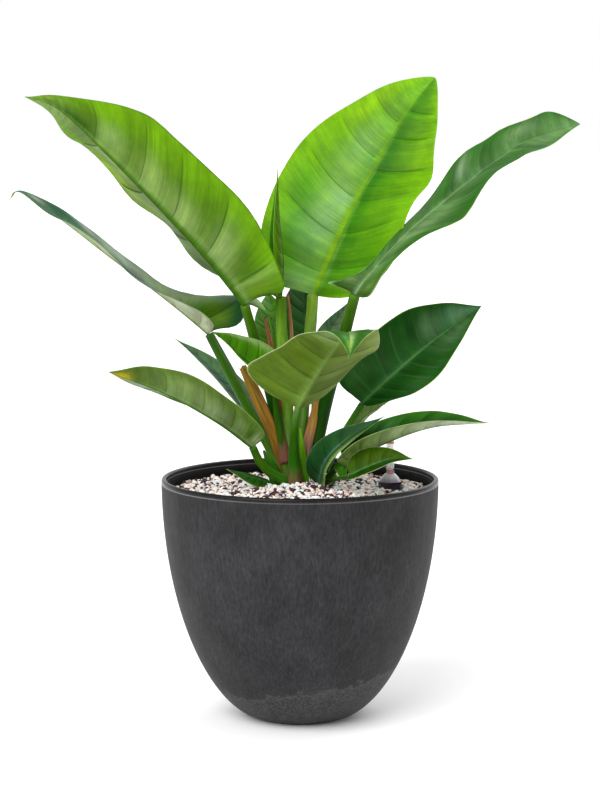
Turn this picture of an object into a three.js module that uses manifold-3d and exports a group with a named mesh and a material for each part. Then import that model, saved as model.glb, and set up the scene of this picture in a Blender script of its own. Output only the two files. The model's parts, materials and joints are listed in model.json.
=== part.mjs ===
// An imperial green philodendron in a rounded pot, with a water gauge beside the plant.
// Millimetres, +Z up, +Y away from the viewer. The origin is the centre of the pot's flat underside.
import * as THREE from 'three';
import { mergeVertices } from 'three/addons/utils/BufferGeometryUtils.js';
import Module from 'manifold-3d';

const wasm = await Module();
wasm.setup();

// Driving dimensions
const GAP = 0.3;               // clearance that touching pieces keep
const SMALLEST_EDGE = 0.01;    // shorter edges that trimming leaves are closed up

const POT_HEIGHT = 279;
const POT_RADIUS = 160;        // at the rim, outside
const FOOT_RADIUS = 50;        // of the flat underside
const POT_WALL = 6;
const POT_FLOOR = 8;
const POT_BULGE = 0.57;        // how fast the wall swells out above the foot
const POT_SIDES = 40;

const FILL_LEVEL = 261;        // top of the granules at the wall
const HEAP_HEIGHT = 9;         // how far they rise round the stems
const HEAP_SPREAD = 60;

const ROOT_RADIUS = 58;
const ROOT_BOTTOM = 118;
const ROOT_TOP = 225;

const GAUGE_X = 105;
const GAUGE_Y = 24;
const GAUGE_RADIUS = 13.8;
const GAUGE_BOTTOM = 106;
const GAUGE_COLLAR = 268;      // where the dome sits on the sleeve
const GAUGE_WALL = 1.6;
const TUBE_RADIUS = 4.7;
const TUBE_WALL = 0.9;
const TUBE_TOP = 336;
const DOME_HEIGHT = 11;
const DOME_WALL = 3;
const DOME_LEDGE = 3.5;        // where the tube's foot rests, above the dome's underside
const FLOAT_RADIUS = 10;
const FLOAT_HEIGHT = 50;
const ROD_RADIUS = 1.3;

const BLADE_THICKNESS = 1.4;
const RIB_DEPTH = 2.6;         // how far the midrib stands out under the blade at its base
const VEIN_BEND = 1.5;         // how strongly the side veins curve towards the tip
const VEIN_CROWDING = 0.05;    // how strongly they are drawn together at the base
const LOBE_PEAK = 0.1;         // where along the rib a base lobe reaches furthest back
const BASE_POWER = 0.7;        // bluntness of the outline at its base
const LONG_BLADE = 200;        // blades longer than this get more rows of points
const LEAST_CURL = 1e-5;

// Leaves. rib: the midrib from base to tip. face: where the upper face looks, base to tip.
// half, fold, curl, lobe, widest, point, wide and wave go left then right, seen on the upper face
// with the tip up: half width; degrees that each half lifts off flat, and lifts further towards
// its margin, base to tip; length of the base lobe as a share of the rib; shape exponents of the
// outline; percent of that outline's width, base to tip; and height, count and phase of the
// margin's waves.
const LEAVES = [
  {
    name: 'upper_left', colour: 'young',
    rib: [
      [-63, -2, 478], [-109, 6, 534], [-172, 20, 600], [-240, 40, 667], [-284, 60, 704],
      [-322, 80, 716],
    ],
    face: [[0.35, 0.75, 0.55], [0.35, 0.75, 0.55], [0.2, 0.8, 0.6]],
    half: [80, 76],
    fold: [[8, 12, 14], [66, 42, 30, 22, 20]], curl: [[18, 10, 20], [0, 0]], lobe: [0.12, 0.12],
    widest: [0.57, 0.6], point: [1.15, 1.1],
    wide: [[104, 94, 103, 103, 112, 130, 126, 98, 80], [100, 105, 112, 105, 95, 64, 100, 225, 180]],
    wave: [[0, 1, 0], [8, 3.2, -0.46]],
    stalk: [[-16, 20, 293], [-35, 20, 378], [-53, 12, 440]], radii: [7.5, 7, 6.5, 5.5],
  },
  {
    name: 'top', colour: 'young',
    rib: [[15, 44, 486], [51, 78, 565], [84, 100, 627], [127, 120, 697], [161, 132, 739]],
    face: [[-0.1, -0.88, 0.4], [-0.1, -0.85, 0.4], [-0.2, -0.85, 0.4]],
    half: [96, 93],
    fold: [[8, 4, 0], [24, 28, 32, 8, 0, -5]], curl: [[6, 0], [0, 0]], lobe: [0.08, 0.03],
    widest: [0.66, 0.62], point: [0.68, 0.78],
    wide: [[100, 97, 97, 100, 103, 105, 106, 108, 95], [100, 102, 104, 96, 88, 98, 95, 106, 105]],
    wave: [[4, 2, 0], [5, 3.5, 1.5]],
    stalk: [[0, 28, 292], [6, 28, 388], [12, 34, 447]], radii: [7, 7, 7, 6.5],
  },
  {
    name: 'upper_right', colour: 'deep',
    rib: [
      [62, -33, 492], [76, -27, 511], [121, -2, 559], [175, 32, 602], [230, 60, 642], [263, 76, 663],
      [330, 98, 684],
    ],
    face: [[-0.6, -0.3, 0.75], [-0.55, -0.35, 0.75], [-0.45, -0.6, 0.65]],
    half: [54, 54],
    fold: [[60, 20, 0, 15, 27, 10], [-38, 0, -12, 12, 0, 5]], lobe: [0.08, 0.02], widest: [0.62, 0.6],
    point: [0.9, 1],
    wide: [[150, 32, 28, 50, 76, 108, 110, 190, 560], [70, 40, 70, 95, 93, 103, 120, 165, 140]],
    stalk: [[12, 26, 278], [30, 20, 364], [48, -12, 436]], radii: [8, 8, 7.5, 6],
  },
  {
    name: 'far_left', colour: 'deep',
    rib: [
      [-106, 45, 441], [-152, 48, 479], [-221, 50, 531], [-279, 52, 575], [-325, 58, 605],
      [-339, 60, 596],
    ],
    face: [[0.45, -0.1, 0.9], [0.5, 0, 0.85], [0.5, 0.1, 0.8]],
    half: [52, 48],
    fold: [[45, 35, 17, 6, 4, 9, 10, 5, -12, -12, 0], [60, 56, 20, 5, 8, 10, 17, 24, 38, 40, 30]],
    lobe: [0.04, 0.15], widest: [0.55, 0.5],
    wide: [[75, 80, 95, 100, 100, 100, 100, 110, 130], [70, 150, 112, 96, 98, 100, 105, 115, 150]],
    stalk: [[-19, 26, 271], [-30, 32, 300], [-58, 38, 352], [-82, 42, 396]],
    radii: [6.5, 7, 7, 6.5, 5.5],
  },
  {
    name: 'back', colour: 'deep',
    rib: [[6, 60, 406], [6, 82, 442], [5, 110, 476], [2, 150, 516]],
    face: [[0.1, -0.75, 0.6], [0.1, -0.75, 0.6]],
    half: [34, 12],
    fold: [[20, 20], [20, 20]],
    stalk: [[-2, 36, 286], [-1, 40, 328], [1, 48, 369]], radii: [5, 4, 3.5, 3],
  },
  {
    name: 'inner_left', colour: 'young',
    rib: [[-29, -1, 382], [-50, -6, 406], [-69, -12, 423], [-84, -20, 438], [-101, -32, 451]],
    face: [[0.5, -0.3, 0.8], [0.5, -0.4, 0.8]],
    half: [22, 31],
    fold: [[10, 10], [55, 40]], lobe: [0.1, 0.1],
    stalk: [[-14, 20, 279], [-22, 16, 320], [-27, 10, 350]], radii: [5, 4, 3.5, 3],
  },
  {
    name: 'front', colour: 'mid',
    rib: [
      [-3, -40, 364], [20, -57, 406], [41, -83, 440], [51, -107, 455], [54, -133, 450],
      [54, -147, 430],
    ],
    face: [[-0.1, 0.95, 0.3], [0, 0.5, 0.9], [0, -0.9, 0.3]],
    half: [72, 66],
    fold: [[42, 36, 12, 0, 0], [10, 5, 15]], curl: [[10, 10], [0, 0]], lobe: [0.02, 0.05],
    wide: [[50, 80, 98, 105, 102, 100, 104, 112, 104], [95, 123, 100, 87, 92, 100, 100, 100, 100]],
    stalk: [[-6, 5, 270], [-7, -14, 318], [-6, -28, 343]], radii: [9, 6.5, 5, 3.5],
  },
  {
    name: 'right', colour: 'deep',
    rib: [[72, 15, 362], [107, 22, 394], [151, 35, 430], [212, 50, 473]],
    face: [[-0.35, -0.85, 0.4], [-0.35, -0.85, 0.4]],
    half: [62, 49],
    fold: [[15, 10], [15, 10]], lobe: [0.08, -0.06], widest: [0.62, 0.6], point: [1, 1.1],
    wide: [[100, 95, 88, 87, 93, 106, 118, 137, 130], [70, 75, 86, 95, 98, 100, 100, 100, 100]],
    stalk: [[29, 20, 284], [46, 18, 319], [60, 16, 343]], radii: [5, 5, 4.5, 4.5],
  },
  {
    name: 'lower_left', colour: 'mid',
    rib: [[-54, -25, 317], [-93, -40, 348], [-151, -60, 383], [-214, -75, 409]],
    face: [[0.3, 0.7, 0.65], [0.3, 0.7, 0.65]],
    half: [46, 46],
    fold: [[10, 10], [45, 20]], lobe: [0.04, 0.04], point: [1, 1.1],
    wide: [[85, 80, 81, 88, 107, 130, 155, 195, 180], [100, 100, 100, 100, 100, 100, 115, 170, 150]],
    stalk: [[-14, 8, 272], [-32, -4, 283], [-46, -16, 299]], radii: [8, 6, 5, 4.5],
  },
  {
    name: 'lower_right', colour: 'deep',
    rib: [[53, -30, 296], [85, -40, 319], [147, -55, 344], [213, -70, 351]],
    face: [[-0.3, -0.35, 0.9], [-0.3, -0.35, 0.9]],
    half: [33, 38],
    fold: [[35, 25], [50, 45, 42]], lobe: [0.05, 0.05],
    wide: [[100, 100, 93, 91, 95, 103, 116, 145, 150], [100, 100, 104, 107, 112, 118, 135, 170, 150]],
    stalk: [[28, 14, 271], [36, 0, 282], [44, -16, 292]], radii: [5, 4, 3.5, 3],
  },
  {
    name: 'low_front', colour: 'deep',
    rib: [[21, 6, 270], [30, -18, 301], [55, -36, 329], [96, -42, 355]],
    face: [[-0.2, -0.9, 0.35], [-0.3, -0.7, 0.6]],
    half: [22, 22],
    fold: [[10, 15], [40, 40, 20]],
  },
  {
    name: 'low_right', colour: 'mid',
    rib: [[56, -65, 290], [79, -72, 302], [103, -78, 311], [127, -84, 312]],
    face: [[-0.2, -0.6, 0.75], [-0.2, -0.6, 0.75]],
    half: [26, 20],
    fold: [[10, 10], [30, 20]], lobe: [0.05, 0.05],
    stalk: [[25, 6, 270], [37, -18, 278], [48, -42, 285]], radii: [4, 3, 2.5, 2.5],
  },
  {
    name: 'back_right_low', colour: 'mid',
    rib: [[53, 60, 314], [74, 80, 337], [96, 100, 349], [111, 115, 356]],
    face: [[0.3, 0.8, 0.5], [0.3, 0.8, 0.5]],
    half: [22, 22],
    fold: [[20, 20], [20, 20]], lobe: [0.05, 0.05],
    wide: [[100, 100, 100, 100, 100], [40, 40, 60, 100, 100]],
    stalk: [[19, 30, 282], [30, 38, 293], [42, 48, 304]], radii: [4, 3, 3, 2.5],
  },
  {
    name: 'back_left', colour: 'young',
    rib: [[-28, 70, 419], [-30, 95, 441], [-34, 120, 463], [-39, 150, 485]],
    face: [[0.2, -0.7, 0.7], [0.2, -0.7, 0.7]],
    half: [28, 24],
    fold: [[20, 20], [20, 20]], lobe: [0.05, 0.05],
    stalk: [[-12, 34, 289], [-19, 40, 328], [-26, 52, 374]], radii: [5, 4, 3.5, 3],
  },
  {
    name: 'back_right', colour: 'deep',
    rib: [[20, 88, 412], [31, 94, 433], [44, 100, 454], [58, 106, 474]],
    face: [[0.2, -0.7, 0.7], [0.2, -0.7, 0.7]],
    half: [13, 15],
    fold: [[20, 20], [20, 20]], lobe: [0.05, 0.05],
    stalk: [[9, 34, 287], [15, 46, 328], [18, 68, 372]], radii: [5, 4, 3.5, 3],
  },
  {
    name: 'back_left_low', colour: 'deep',
    rib: [[-55, 80, 342], [-89, 95, 381], [-120, 110, 407], [-151, 120, 429]],
    face: [[0.35, -0.5, 0.75], [0.35, -0.5, 0.75]],
    half: [20, 22],
    fold: [[15, 15], [15, 15]], lobe: [0.05, 0.05],
    wide: [[90, 90, 90, 100, 100], [90, 85, 85, 100, 100]],
    stalk: [[-21, 32, 285], [-33, 44, 304], [-45, 60, 326]], radii: [5, 4, 3.5, 3],
  },
  {
    name: 'upright', colour: 'young',
    rib: [[-22, 12, 486], [-20, 15, 526], [-24, 20, 574], [-26, 28, 632]],
    face: [[-0.97, 0, 0.2], [-0.97, -0.05, 0.2]],
    half: [20, 30],
    fold: [[50, 45], [20, 20]], lobe: [0.03, 0.03], widest: [0.48, 0.55],
    stalk: [[-14, 24, 293], [-17, 24, 389], [-21, 20, 447]], radii: [6.5, 7, 7, 6],
  },
  {
    name: 'soil_left', colour: 'deep',
    rib: [[-34, 8, 271], [-52, 2, 277], [-69, -2, 283], [-85, -6, 289]],
    face: [[0.1, -0.5, 0.85], [0.1, -0.5, 0.85]],
    half: [15, 6],
    fold: [[0, 0], [0, 0]],
  },
  {
    name: 'soil_right', colour: 'young',
    rib: [[42, -24, 298], [47, -30, 293], [49, -32, 286], [54, -32, 278]],
    face: [[0.1, -0.9, 0.1], [0.1, -0.9, 0.1]],
    half: [7, 7],
    fold: [[10, 10], [10, 10]],
  },
];

// Sheaths and spears that stand between the stalks: path, radii along it, and depth over width.
const SHEATHS = [
  {
    name: 'sheath_left', colour: 'sheath', flat: 0.55,
    path: [[-14, 22, 274], [-22, 19, 300], [-32, 16, 330], [-43, 13, 356], [-55, 10, 383], [-66, 8, 406]],
    radii: [4, 5, 4.5, 4.5, 4, 2],
  },
  {
    name: 'sheath_middle', colour: 'sheath', flat: 0.5,
    path: [[-12, 24, 286], [-13, 24, 313], [-19, 22, 345], [-28, 20, 384], [-34, 18, 430], [-40, 16, 461]],
    radii: [4, 5, 5, 4.5, 4, 1.5],
  },
  {
    name: 'sheath_right', colour: 'sheath', flat: 0.5,
    path: [[7, 16, 285], [8, 17, 310], [14, 18, 337], [20, 20, 368]],
    radii: [4, 5.5, 5.5, 3],
  },
  {
    name: 'sheath_strip', colour: 'sheath', flat: 0.6,
    path: [[-9, 26, 293], [-10, 24, 342], [-10, 24, 389], [-10, 24, 444], [-14, 24, 487]],
    radii: [3, 2.5, 2.5, 2.3, 1.5],
  },
  {
    name: 'sheath_low_left', colour: 'mid', flat: 0.5,
    path: [[-24, 4, 266], [-29, 0, 281], [-35, -4, 295], [-41, -8, 309]],
    radii: [9, 8, 6, 1.5],
  },
  {
    name: 'sheath_low_right', colour: 'young', flat: 0.6,
    path: [[7, 12, 266], [6, 12, 285], [3, 10, 309], [0, 8, 335]],
    radii: [4, 3.5, 3, 1],
  },
  {
    name: 'spear', colour: 'young', flat: 1,
    path: [[-12, 22, 293], [-19, 24, 342], [-26, 24, 389], [-31, 22, 436], [-36, 22, 462]],
    radii: [3, 2.5, 2, 1.8, 0.6],
  },
];

// Short stems that the stalks grow from: the main one and a side shoot
const CROWNS = [
  { name: 'crown', path: [[-5, 22, ROOT_TOP - 5], [-5, 22, 260], [-5, 23, 292]], radii: [20, 19, 12] },
  { name: 'side_crown', path: [[24, 20, ROOT_TOP - 5], [24, 18, 255], [24, 16, 283]], radii: [8, 8, 6] },
];

// Materials
const material = (color, roughness, metalness = 0) =>
  new THREE.MeshStandardMaterial({ color, roughness, metalness });
const MATERIALS = {
  pot: material(0x3e3f40, 0.75),
  granules: material(0xb9aca4, 0.9),
  root: material(0x5a4636, 0.95),
  young: material(0x6fa51f, 0.42),
  mid: material(0x4f8a33, 0.42),
  deep: material(0x2c5f33, 0.38),
  stalk: material(0x3f7a2a, 0.45),
  sheath: material(0xa9763f, 0.7),
  gauge_dark: material(0x2b2230, 0.35),
  gauge_clear: material(0xd8d6e2, 0.1),
  float: material(0xe8e6df, 0.5),
  float_red: material(0xb5231c, 0.4),
};

// Solid helpers
function solidOf(geometry) {
  const bare = new THREE.BufferGeometry().setAttribute('position', geometry.getAttribute('position'));
  bare.setIndex(geometry.index);
  const merged = mergeVertices(bare, 1e-3);
  return new wasm.Manifold(new wasm.Mesh({
    numProp: 3,
    vertProperties: merged.attributes.position.array,
    triVerts: new Uint32Array(merged.index.array),
  }));
}

function geometryOf(solid) {
  const mesh = solid.getMesh();
  const geometry = new THREE.BufferGeometry();
  geometry.setAttribute('position', new THREE.BufferAttribute(mesh.vertProperties, 3));
  geometry.setIndex(new THREE.BufferAttribute(mesh.triVerts, 1));
  geometry.computeVertexNormals();
  return geometry;
}

function largestBody(solid) {
  const bodies = solid.decompose();
  return bodies.reduce((best, body) => (body.volume() > best.volume() ? body : best));
}

function boxesMeet(one, other) {
  const a = one.boundingBox();
  const b = other.boundingBox();
  return [0, 1, 2].every((k) => a.min[k] < b.max[k] && b.min[k] < a.max[k]);
}

// Moves an end ring of a loft outwards, away from the ring next to it
function pushOut(ring, next, distance) {
  const middle = (points) => points
    .reduce((sum, point) => sum.add(point), new THREE.Vector3())
    .divideScalar(points.length);
  const shift = middle(ring).sub(middle(next)).setLength(distance);
  return ring.map((point) => point.clone().add(shift));
}

// Joins rings of points into one closed solid, its ends moved out by `extra`. Each cap runs in
// strips across the ring. The two halves of a ring are the two faces of a sheet, so their walls
// are split along the same diagonals, which keeps a thin sheet's faces apart.
function loft(inner, extra) {
  const rings = [...inner];
  if (extra > 0) {
    rings[0] = pushOut(inner[0], inner[1], extra);
    rings[inner.length - 1] = pushOut(inner.at(-1), inner.at(-2), extra);
  }
  const count = rings[0].length;
  const index = [];
  for (let i = 0; i < rings.length - 1; i += 1) {
    for (let j = 0; j < count; j += 1) {
      const k = (j + 1) % count;
      const [a, b, c, d] = [i * count + j, i * count + k, (i + 1) * count + k, (i + 1) * count + j];
      if (j < count / 2) index.push(a, b, c, a, c, d);
      else index.push(a, b, d, b, c, d);
    }
  }
  const last = (rings.length - 1) * count;
  for (let j = 0; j < count / 2 - 1; j += 1) {
    const [a, b, c, d] = [j, j + 1, count - 2 - j, count - 1 - j];
    index.push(a, c, b, a, d, c);
    index.push(last + a, last + b, last + c, last + a, last + c, last + d);
  }
  const geometry = new THREE.BufferGeometry().setFromPoints(rings.flat());
  geometry.setIndex(index);
  return solidOf(geometry);
}

const vector = (xyz) => new THREE.Vector3(...xyz);
const smoothCurve = (points) => new THREE.CatmullRomCurve3(points.map(vector), false, 'catmullrom', 0.5);

// The value at t, 0 to 1, of a smooth curve through a list whose entries lie at equal steps
function along(list, t) {
  const place = t * (list.length - 1);
  const i = Math.min(Math.floor(place), list.length - 2);
  const f = place - i;
  const [b, c] = [list[i], list[i + 1]];
  const [a, d] = [list[i - 1] ?? b, list[i + 2] ?? c];
  return b + (f / 2) * (c - a + f * (2 * a - 5 * b + 4 * c - d + f * (3 * (b - c) + d - a)));
}

// A stalk or sheath: an oval section swept along a curve, `flat` times as deep as it is wide
function stalkSolid({ path, radii, flat = 1 }, extra = 0) {
  const curve = smoothCurve(path);
  const steps = Math.max(4, Math.round(curve.getLength() / 24));
  const sides = 8;
  const away = new THREE.Vector3(0, 1, 0);
  const rings = [];
  for (let i = 0; i <= steps; i += 1) {
    const t = i / steps;
    const centre = curve.getPointAt(t);
    const tangent = curve.getTangentAt(t);
    const wide = new THREE.Vector3().crossVectors(tangent, away).normalize();
    const deep = new THREE.Vector3().crossVectors(tangent, wide);
    const radius = along(radii, t);
    rings.push(Array.from({ length: sides }, (_, j) => {
      const angle = ((j + 0.5) / sides) * 2 * Math.PI;
      return centre.clone()
        .addScaledVector(wide, (radius + extra) * Math.cos(angle))
        .addScaledVector(deep, (radius * flat + extra) * Math.sin(angle));
    }));
  }
  return loft(rings, extra);
}

// The midrib's own frame at a length u from its base; u is negative beside the base lobes
function ribFrame(leaf) {
  const curve = smoothCurve(leaf.rib);
  const length = curve.getLength();
  const faces = leaf.face.map(vector).map((v) => v.normalize());
  return {
    length,
    at(u) {
      const t = THREE.MathUtils.clamp(u / length, 0, 1);
      const tangent = curve.getTangentAt(t);
      const origin = curve.getPointAt(t).addScaledVector(tangent, Math.min(u, 0));
      const up = new THREE.Vector3(...['x', 'y', 'z'].map((k) => along(faces.map((v) => v[k]), t)));
      up.normalize();
      up.addScaledVector(tangent, -up.dot(tangent)).normalize();
      const across = new THREE.Vector3().crossVectors(tangent, up);
      return { origin, up, across };
    },
  };
}

// The outline at t, base to tip: distance along the rib and distance out from it
function outline(leaf, side, t, length) {
  const lobe = (leaf.lobe ?? [0, 0])[side];
  const widest = (leaf.widest ?? [0.55, 0.55])[side];
  const point = (leaf.point ?? [1.25, 1.25])[side];
  const back = lobe * length * (1 - t) * (t / LOBE_PEAK) * Math.exp(1 - t / LOBE_PEAK);
  const power = THREE.MathUtils.lerp(BASE_POWER, point, t);
  const wide = leaf.wide ? along(leaf.wide[side], t) / 100 : 1;
  const out = leaf.half[side] * wide * Math.max(0, Math.sin(Math.PI * t ** widest)) ** power;
  return { forward: length * t - back, out };
}

// A point of the blade's middle surface: t from base to tip, s from the midrib, 0, to the margin, 1
function bladePoint(leaf, frame, side, t, s, extra) {
  const edge = outline(leaf, side, t, frame.length);
  const root = frame.length * t * ((t * (1 + VEIN_CROWDING)) / (t + VEIN_CROWDING));
  const { origin, up, across } = frame.at(root + (edge.forward - root) * s ** VEIN_BEND);
  const half = leaf.half[side];
  const fold = THREE.MathUtils.degToRad(along(leaf.fold[side], t));
  const curl = THREE.MathUtils.degToRad(along((leaf.curl ?? [[0, 0], [0, 0]])[side], t)) / half;
  const reach = edge.out * s + (s === 1 ? extra : 0);
  const bend = Math.abs(curl) < LEAST_CURL ? LEAST_CURL : curl;
  const sideways = (Math.sin(fold + bend * reach) - Math.sin(fold)) / bend;
  const [height, count, phase] = (leaf.wave ?? [[0, 1, 0], [0, 1, 0]])[side];
  const wave = height * (reach / half) ** 2 * Math.sin(2 * Math.PI * count * t + phase);
  const lift = (Math.cos(fold) - Math.cos(fold + bend * reach)) / bend + wave;
  return origin
    .addScaledVector(across, (side === 0 ? -1 : 1) * sideways)
    .addScaledVector(up, lift);
}

// A blade as a closed solid, its underside thickened along the midrib
function bladeSolid(leaf, extra = 0) {
  const frame = ribFrame(leaf);
  const rows = frame.length > LONG_BLADE ? 12 : 8;
  const across = [1, 0.7, 0.35, 0];
  const grid = [];
  for (let i = 0; i <= rows; i += 1) {
    const even = i / rows;
    const t = 0.01 + 0.988 * (even - 0.1 * Math.sin(2 * Math.PI * even));
    const left = across.map((s) => bladePoint(leaf, frame, 0, t, s, extra));
    const right = across.slice(0, -1).reverse().map((s) => bladePoint(leaf, frame, 1, t, s, extra));
    grid.push([...left, ...right]);
  }
  const last = grid[0].length - 1;
  const rings = grid.map((row, i) => {
    const before = grid[Math.max(i - 1, 0)];
    const after = grid[Math.min(i + 1, rows)];
    const normals = row.map((_, j) => {
      const lengthwise = after[j].clone().sub(before[j]);
      const crosswise = row[Math.min(j + 1, last)].clone().sub(row[Math.max(j - 1, 0)]);
      return lengthwise.cross(crosswise).normalize().negate();
    });
    const half = BLADE_THICKNESS / 2 + extra;
    const rib = RIB_DEPTH * (1 - i / rows);
    const top = row.map((p, j) => p.clone().addScaledVector(normals[j], half));
    const bottom = row.map((p, j) => {
      const ridge = j === across.length - 1 ? rib : 0;
      return p.clone().addScaledVector(normals[j], -half - ridge);
    });
    return [...top, ...bottom.reverse()];
  });
  return loft(rings, extra);
}

// Turned pieces
function turned(profile, sides = POT_SIDES) {
  const geometry = new THREE.LatheGeometry(profile.map(([r, z]) => new THREE.Vector2(r, z)), sides);
  geometry.rotateX(Math.PI / 2);
  return solidOf(geometry);
}

const potRadius = (z) =>
  FOOT_RADIUS + (POT_RADIUS - FOOT_RADIUS) * (1 - (1 - Math.min(z / POT_HEIGHT, 1)) ** 2) ** POT_BULGE;

// The pot's wall moved inwards by a thickness, as radius and height
function insidePot(z, thickness) {
  const step = 0.5;
  const slope = (potRadius(z + step) - potRadius(z - step)) / (2 * step);
  const long = Math.hypot(1, slope);
  return [potRadius(z) - thickness / long, z + (thickness * slope) / long];
}

const WALL_HEIGHTS = [14, 34, 64, 104, 154, 214];

function potSolid() {
  const lip = POT_WALL / 2;
  const lipCentre = POT_RADIUS - lip;
  const lipHeight = POT_HEIGHT - lip;
  const profile = [[0, 0], [FOOT_RADIUS, 0], [potRadius(1.5), 1.5], [potRadius(5), 5]];
  WALL_HEIGHTS.forEach((z) => profile.push([potRadius(z), z]));
  for (let k = 0; k <= 3; k += 1) {
    const angle = (k / 3) * Math.PI;
    profile.push([lipCentre + lip * Math.cos(angle), lipHeight + lip * Math.sin(angle)]);
  }
  [...WALL_HEIGHTS].reverse().forEach((z) => profile.push(insidePot(z, POT_WALL)));
  profile.push([FOOT_RADIUS, POT_FLOOR], [0, POT_FLOOR]);
  return turned(profile);
}

const heapHeight = (r) => FILL_LEVEL + HEAP_HEIGHT * Math.exp(-((r / HEAP_SPREAD) ** 2));

function granuleSolid() {
  const inset = POT_WALL + GAP;
  const profile = [[0, POT_FLOOR + GAP], [FOOT_RADIUS - GAP, POT_FLOOR + GAP]];
  WALL_HEIGHTS.forEach((z) => {
    const [r, height] = insidePot(z, inset);
    if (height < FILL_LEVEL) profile.push([r, height]);
  });
  profile.push([POT_RADIUS - inset - 1, FILL_LEVEL]);
  [120, 90, 66, 45, 24].forEach((r) => profile.push([r, heapHeight(r)]));
  profile.push([0, heapHeight(0)]);
  return turned(profile);
}

function rootSolid(extra = 0) {
  const taper = 10;
  return turned([
    [0, ROOT_BOTTOM - extra],
    [ROOT_RADIUS - taper + extra, ROOT_BOTTOM - extra],
    [ROOT_RADIUS + extra, ROOT_TOP + extra],
    [0, ROOT_TOP + extra],
  ], 32);
}

// Water gauge, turned about its own axis and then moved to its place
const atGauge = (solid) => solid.translate([GAUGE_X, GAUGE_Y, 0]);

function sleeveSolid(extra = 0) {
  const outer = GAUGE_RADIUS + extra;
  if (extra > 0) return atGauge(turned([[0, GAUGE_BOTTOM - extra], [outer, GAUGE_BOTTOM - extra],
    [outer, GAUGE_COLLAR + extra], [0, GAUGE_COLLAR + extra]], 20));
  const inner = GAUGE_RADIUS - GAUGE_WALL;
  let sleeve = turned([[0, GAUGE_BOTTOM], [outer, GAUGE_BOTTOM], [outer, GAUGE_COLLAR],
    [inner, GAUGE_COLLAR], [inner, GAUGE_BOTTOM + 2], [0, GAUGE_BOTTOM + 2]], 20);
  const slot = solidOf(new THREE.BoxGeometry(3, 3 * GAUGE_RADIUS, 60));
  for (let k = 0; k < 2; k += 1) {
    sleeve = sleeve.subtract(slot.rotate([0, 0, 90 * k]).translate([0, 0, GAUGE_BOTTOM + 40]));
  }
  return atGauge(sleeve);
}

function domeSolid() {
  const bottom = GAUGE_COLLAR + GAP;
  const top = bottom + DOME_HEIGHT;
  const ledge = bottom + DOME_LEDGE;
  const seat = ledge + 1.5;
  const inner = GAUGE_RADIUS - DOME_WALL;
  const tubeHole = TUBE_RADIUS + GAP;
  const rodHole = ROD_RADIUS + 1;
  return atGauge(turned([
    [GAUGE_RADIUS, bottom], [GAUGE_RADIUS, bottom + 2], [GAUGE_RADIUS - 2.5, bottom + 5],
    [8.5, top - 2.5], [tubeHole + 1, top], [tubeHole, top], [tubeHole, seat],
    [rodHole, seat], [rodHole, ledge], [inner, bottom + 1], [inner, bottom], [GAUGE_RADIUS, bottom],
  ], 16));
}

function tubeSolid() {
  const bottom = GAUGE_COLLAR + GAP + DOME_LEDGE + 1.5 + GAP;
  const inner = TUBE_RADIUS - TUBE_WALL;
  return atGauge(turned([
    [inner, bottom], [TUBE_RADIUS, bottom], [TUBE_RADIUS, TUBE_TOP - 2], [TUBE_RADIUS - 2, TUBE_TOP],
    [0, TUBE_TOP], [0, TUBE_TOP - 2], [inner, TUBE_TOP - 3], [inner, bottom],
  ], 16));
}

const FLOAT_BOTTOM = GAUGE_BOTTOM + 2 + GAP;
const FLOAT_TOP = FLOAT_BOTTOM + FLOAT_HEIGHT;
const TIP_BOTTOM = 279;

function cylinder(radius, bottom, top, sides) {
  return turned([[0, bottom], [radius, bottom], [radius, top], [0, top]], sides);
}

const floatSolid = () => atGauge(cylinder(FLOAT_RADIUS, FLOAT_BOTTOM, FLOAT_TOP, 20));
const rodSolid = () => atGauge(cylinder(ROD_RADIUS, FLOAT_TOP + GAP, TIP_BOTTOM - GAP, 10));
const tipSolid = () => atGauge(cylinder(2.8, TIP_BOTTOM, TIP_BOTTOM + 5, 14));

// Assembly. A piece placed later is trimmed clear of the pieces before it.
const philodendron = new THREE.Group();
const placed = [];

function place(name, colour, make, trim = true) {
  let solid = make(0);
  if (trim) {
    placed.filter(({ cutter }) => boxesMeet(solid, cutter)).forEach(({ cutter }) => {
      solid = solid.subtract(cutter);
    });
    solid = largestBody(solid).simplify(SMALLEST_EDGE);
  }
  placed.push({ name, cutter: trim ? make(GAP).add(solid) : solid });
  const mesh = new THREE.Mesh(geometryOf(solid), MATERIALS[colour]);
  mesh.name = name;
  philodendron.add(mesh);
}

LEAVES.forEach((leaf) => place(`blade_${leaf.name}`, leaf.colour, (extra) => bladeSolid(leaf, extra)));
place('root_ball', 'root', rootSolid);
CROWNS.forEach((crown) => place(crown.name, 'stalk', (extra) => stalkSolid(crown, extra)));
LEAVES.filter((leaf) => leaf.stalk).forEach((leaf) => {
  const stalk = { path: [...leaf.stalk, leaf.rib[0]], radii: leaf.radii };
  place(`stalk_${leaf.name}`, 'stalk', (extra) => stalkSolid(stalk, extra));
});
SHEATHS.forEach((sheath) => place(sheath.name, sheath.colour, (extra) => stalkSolid(sheath, extra)));
place('gauge_sleeve', 'gauge_dark', sleeveSolid);
place('granules', 'granules', granuleSolid);
place('pot', 'pot', potSolid, false);
place('gauge_dome', 'gauge_clear', domeSolid, false);
place('gauge_tube', 'gauge_clear', tubeSolid, false);
place('gauge_float', 'float', floatSolid, false);
place('gauge_rod', 'float', rodSolid, false);
place('gauge_tip', 'float_red', tipSolid, false);

export default philodendron;
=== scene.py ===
import json
import math

import bmesh
import bpy
import numpy as np
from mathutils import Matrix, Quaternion, Vector


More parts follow.
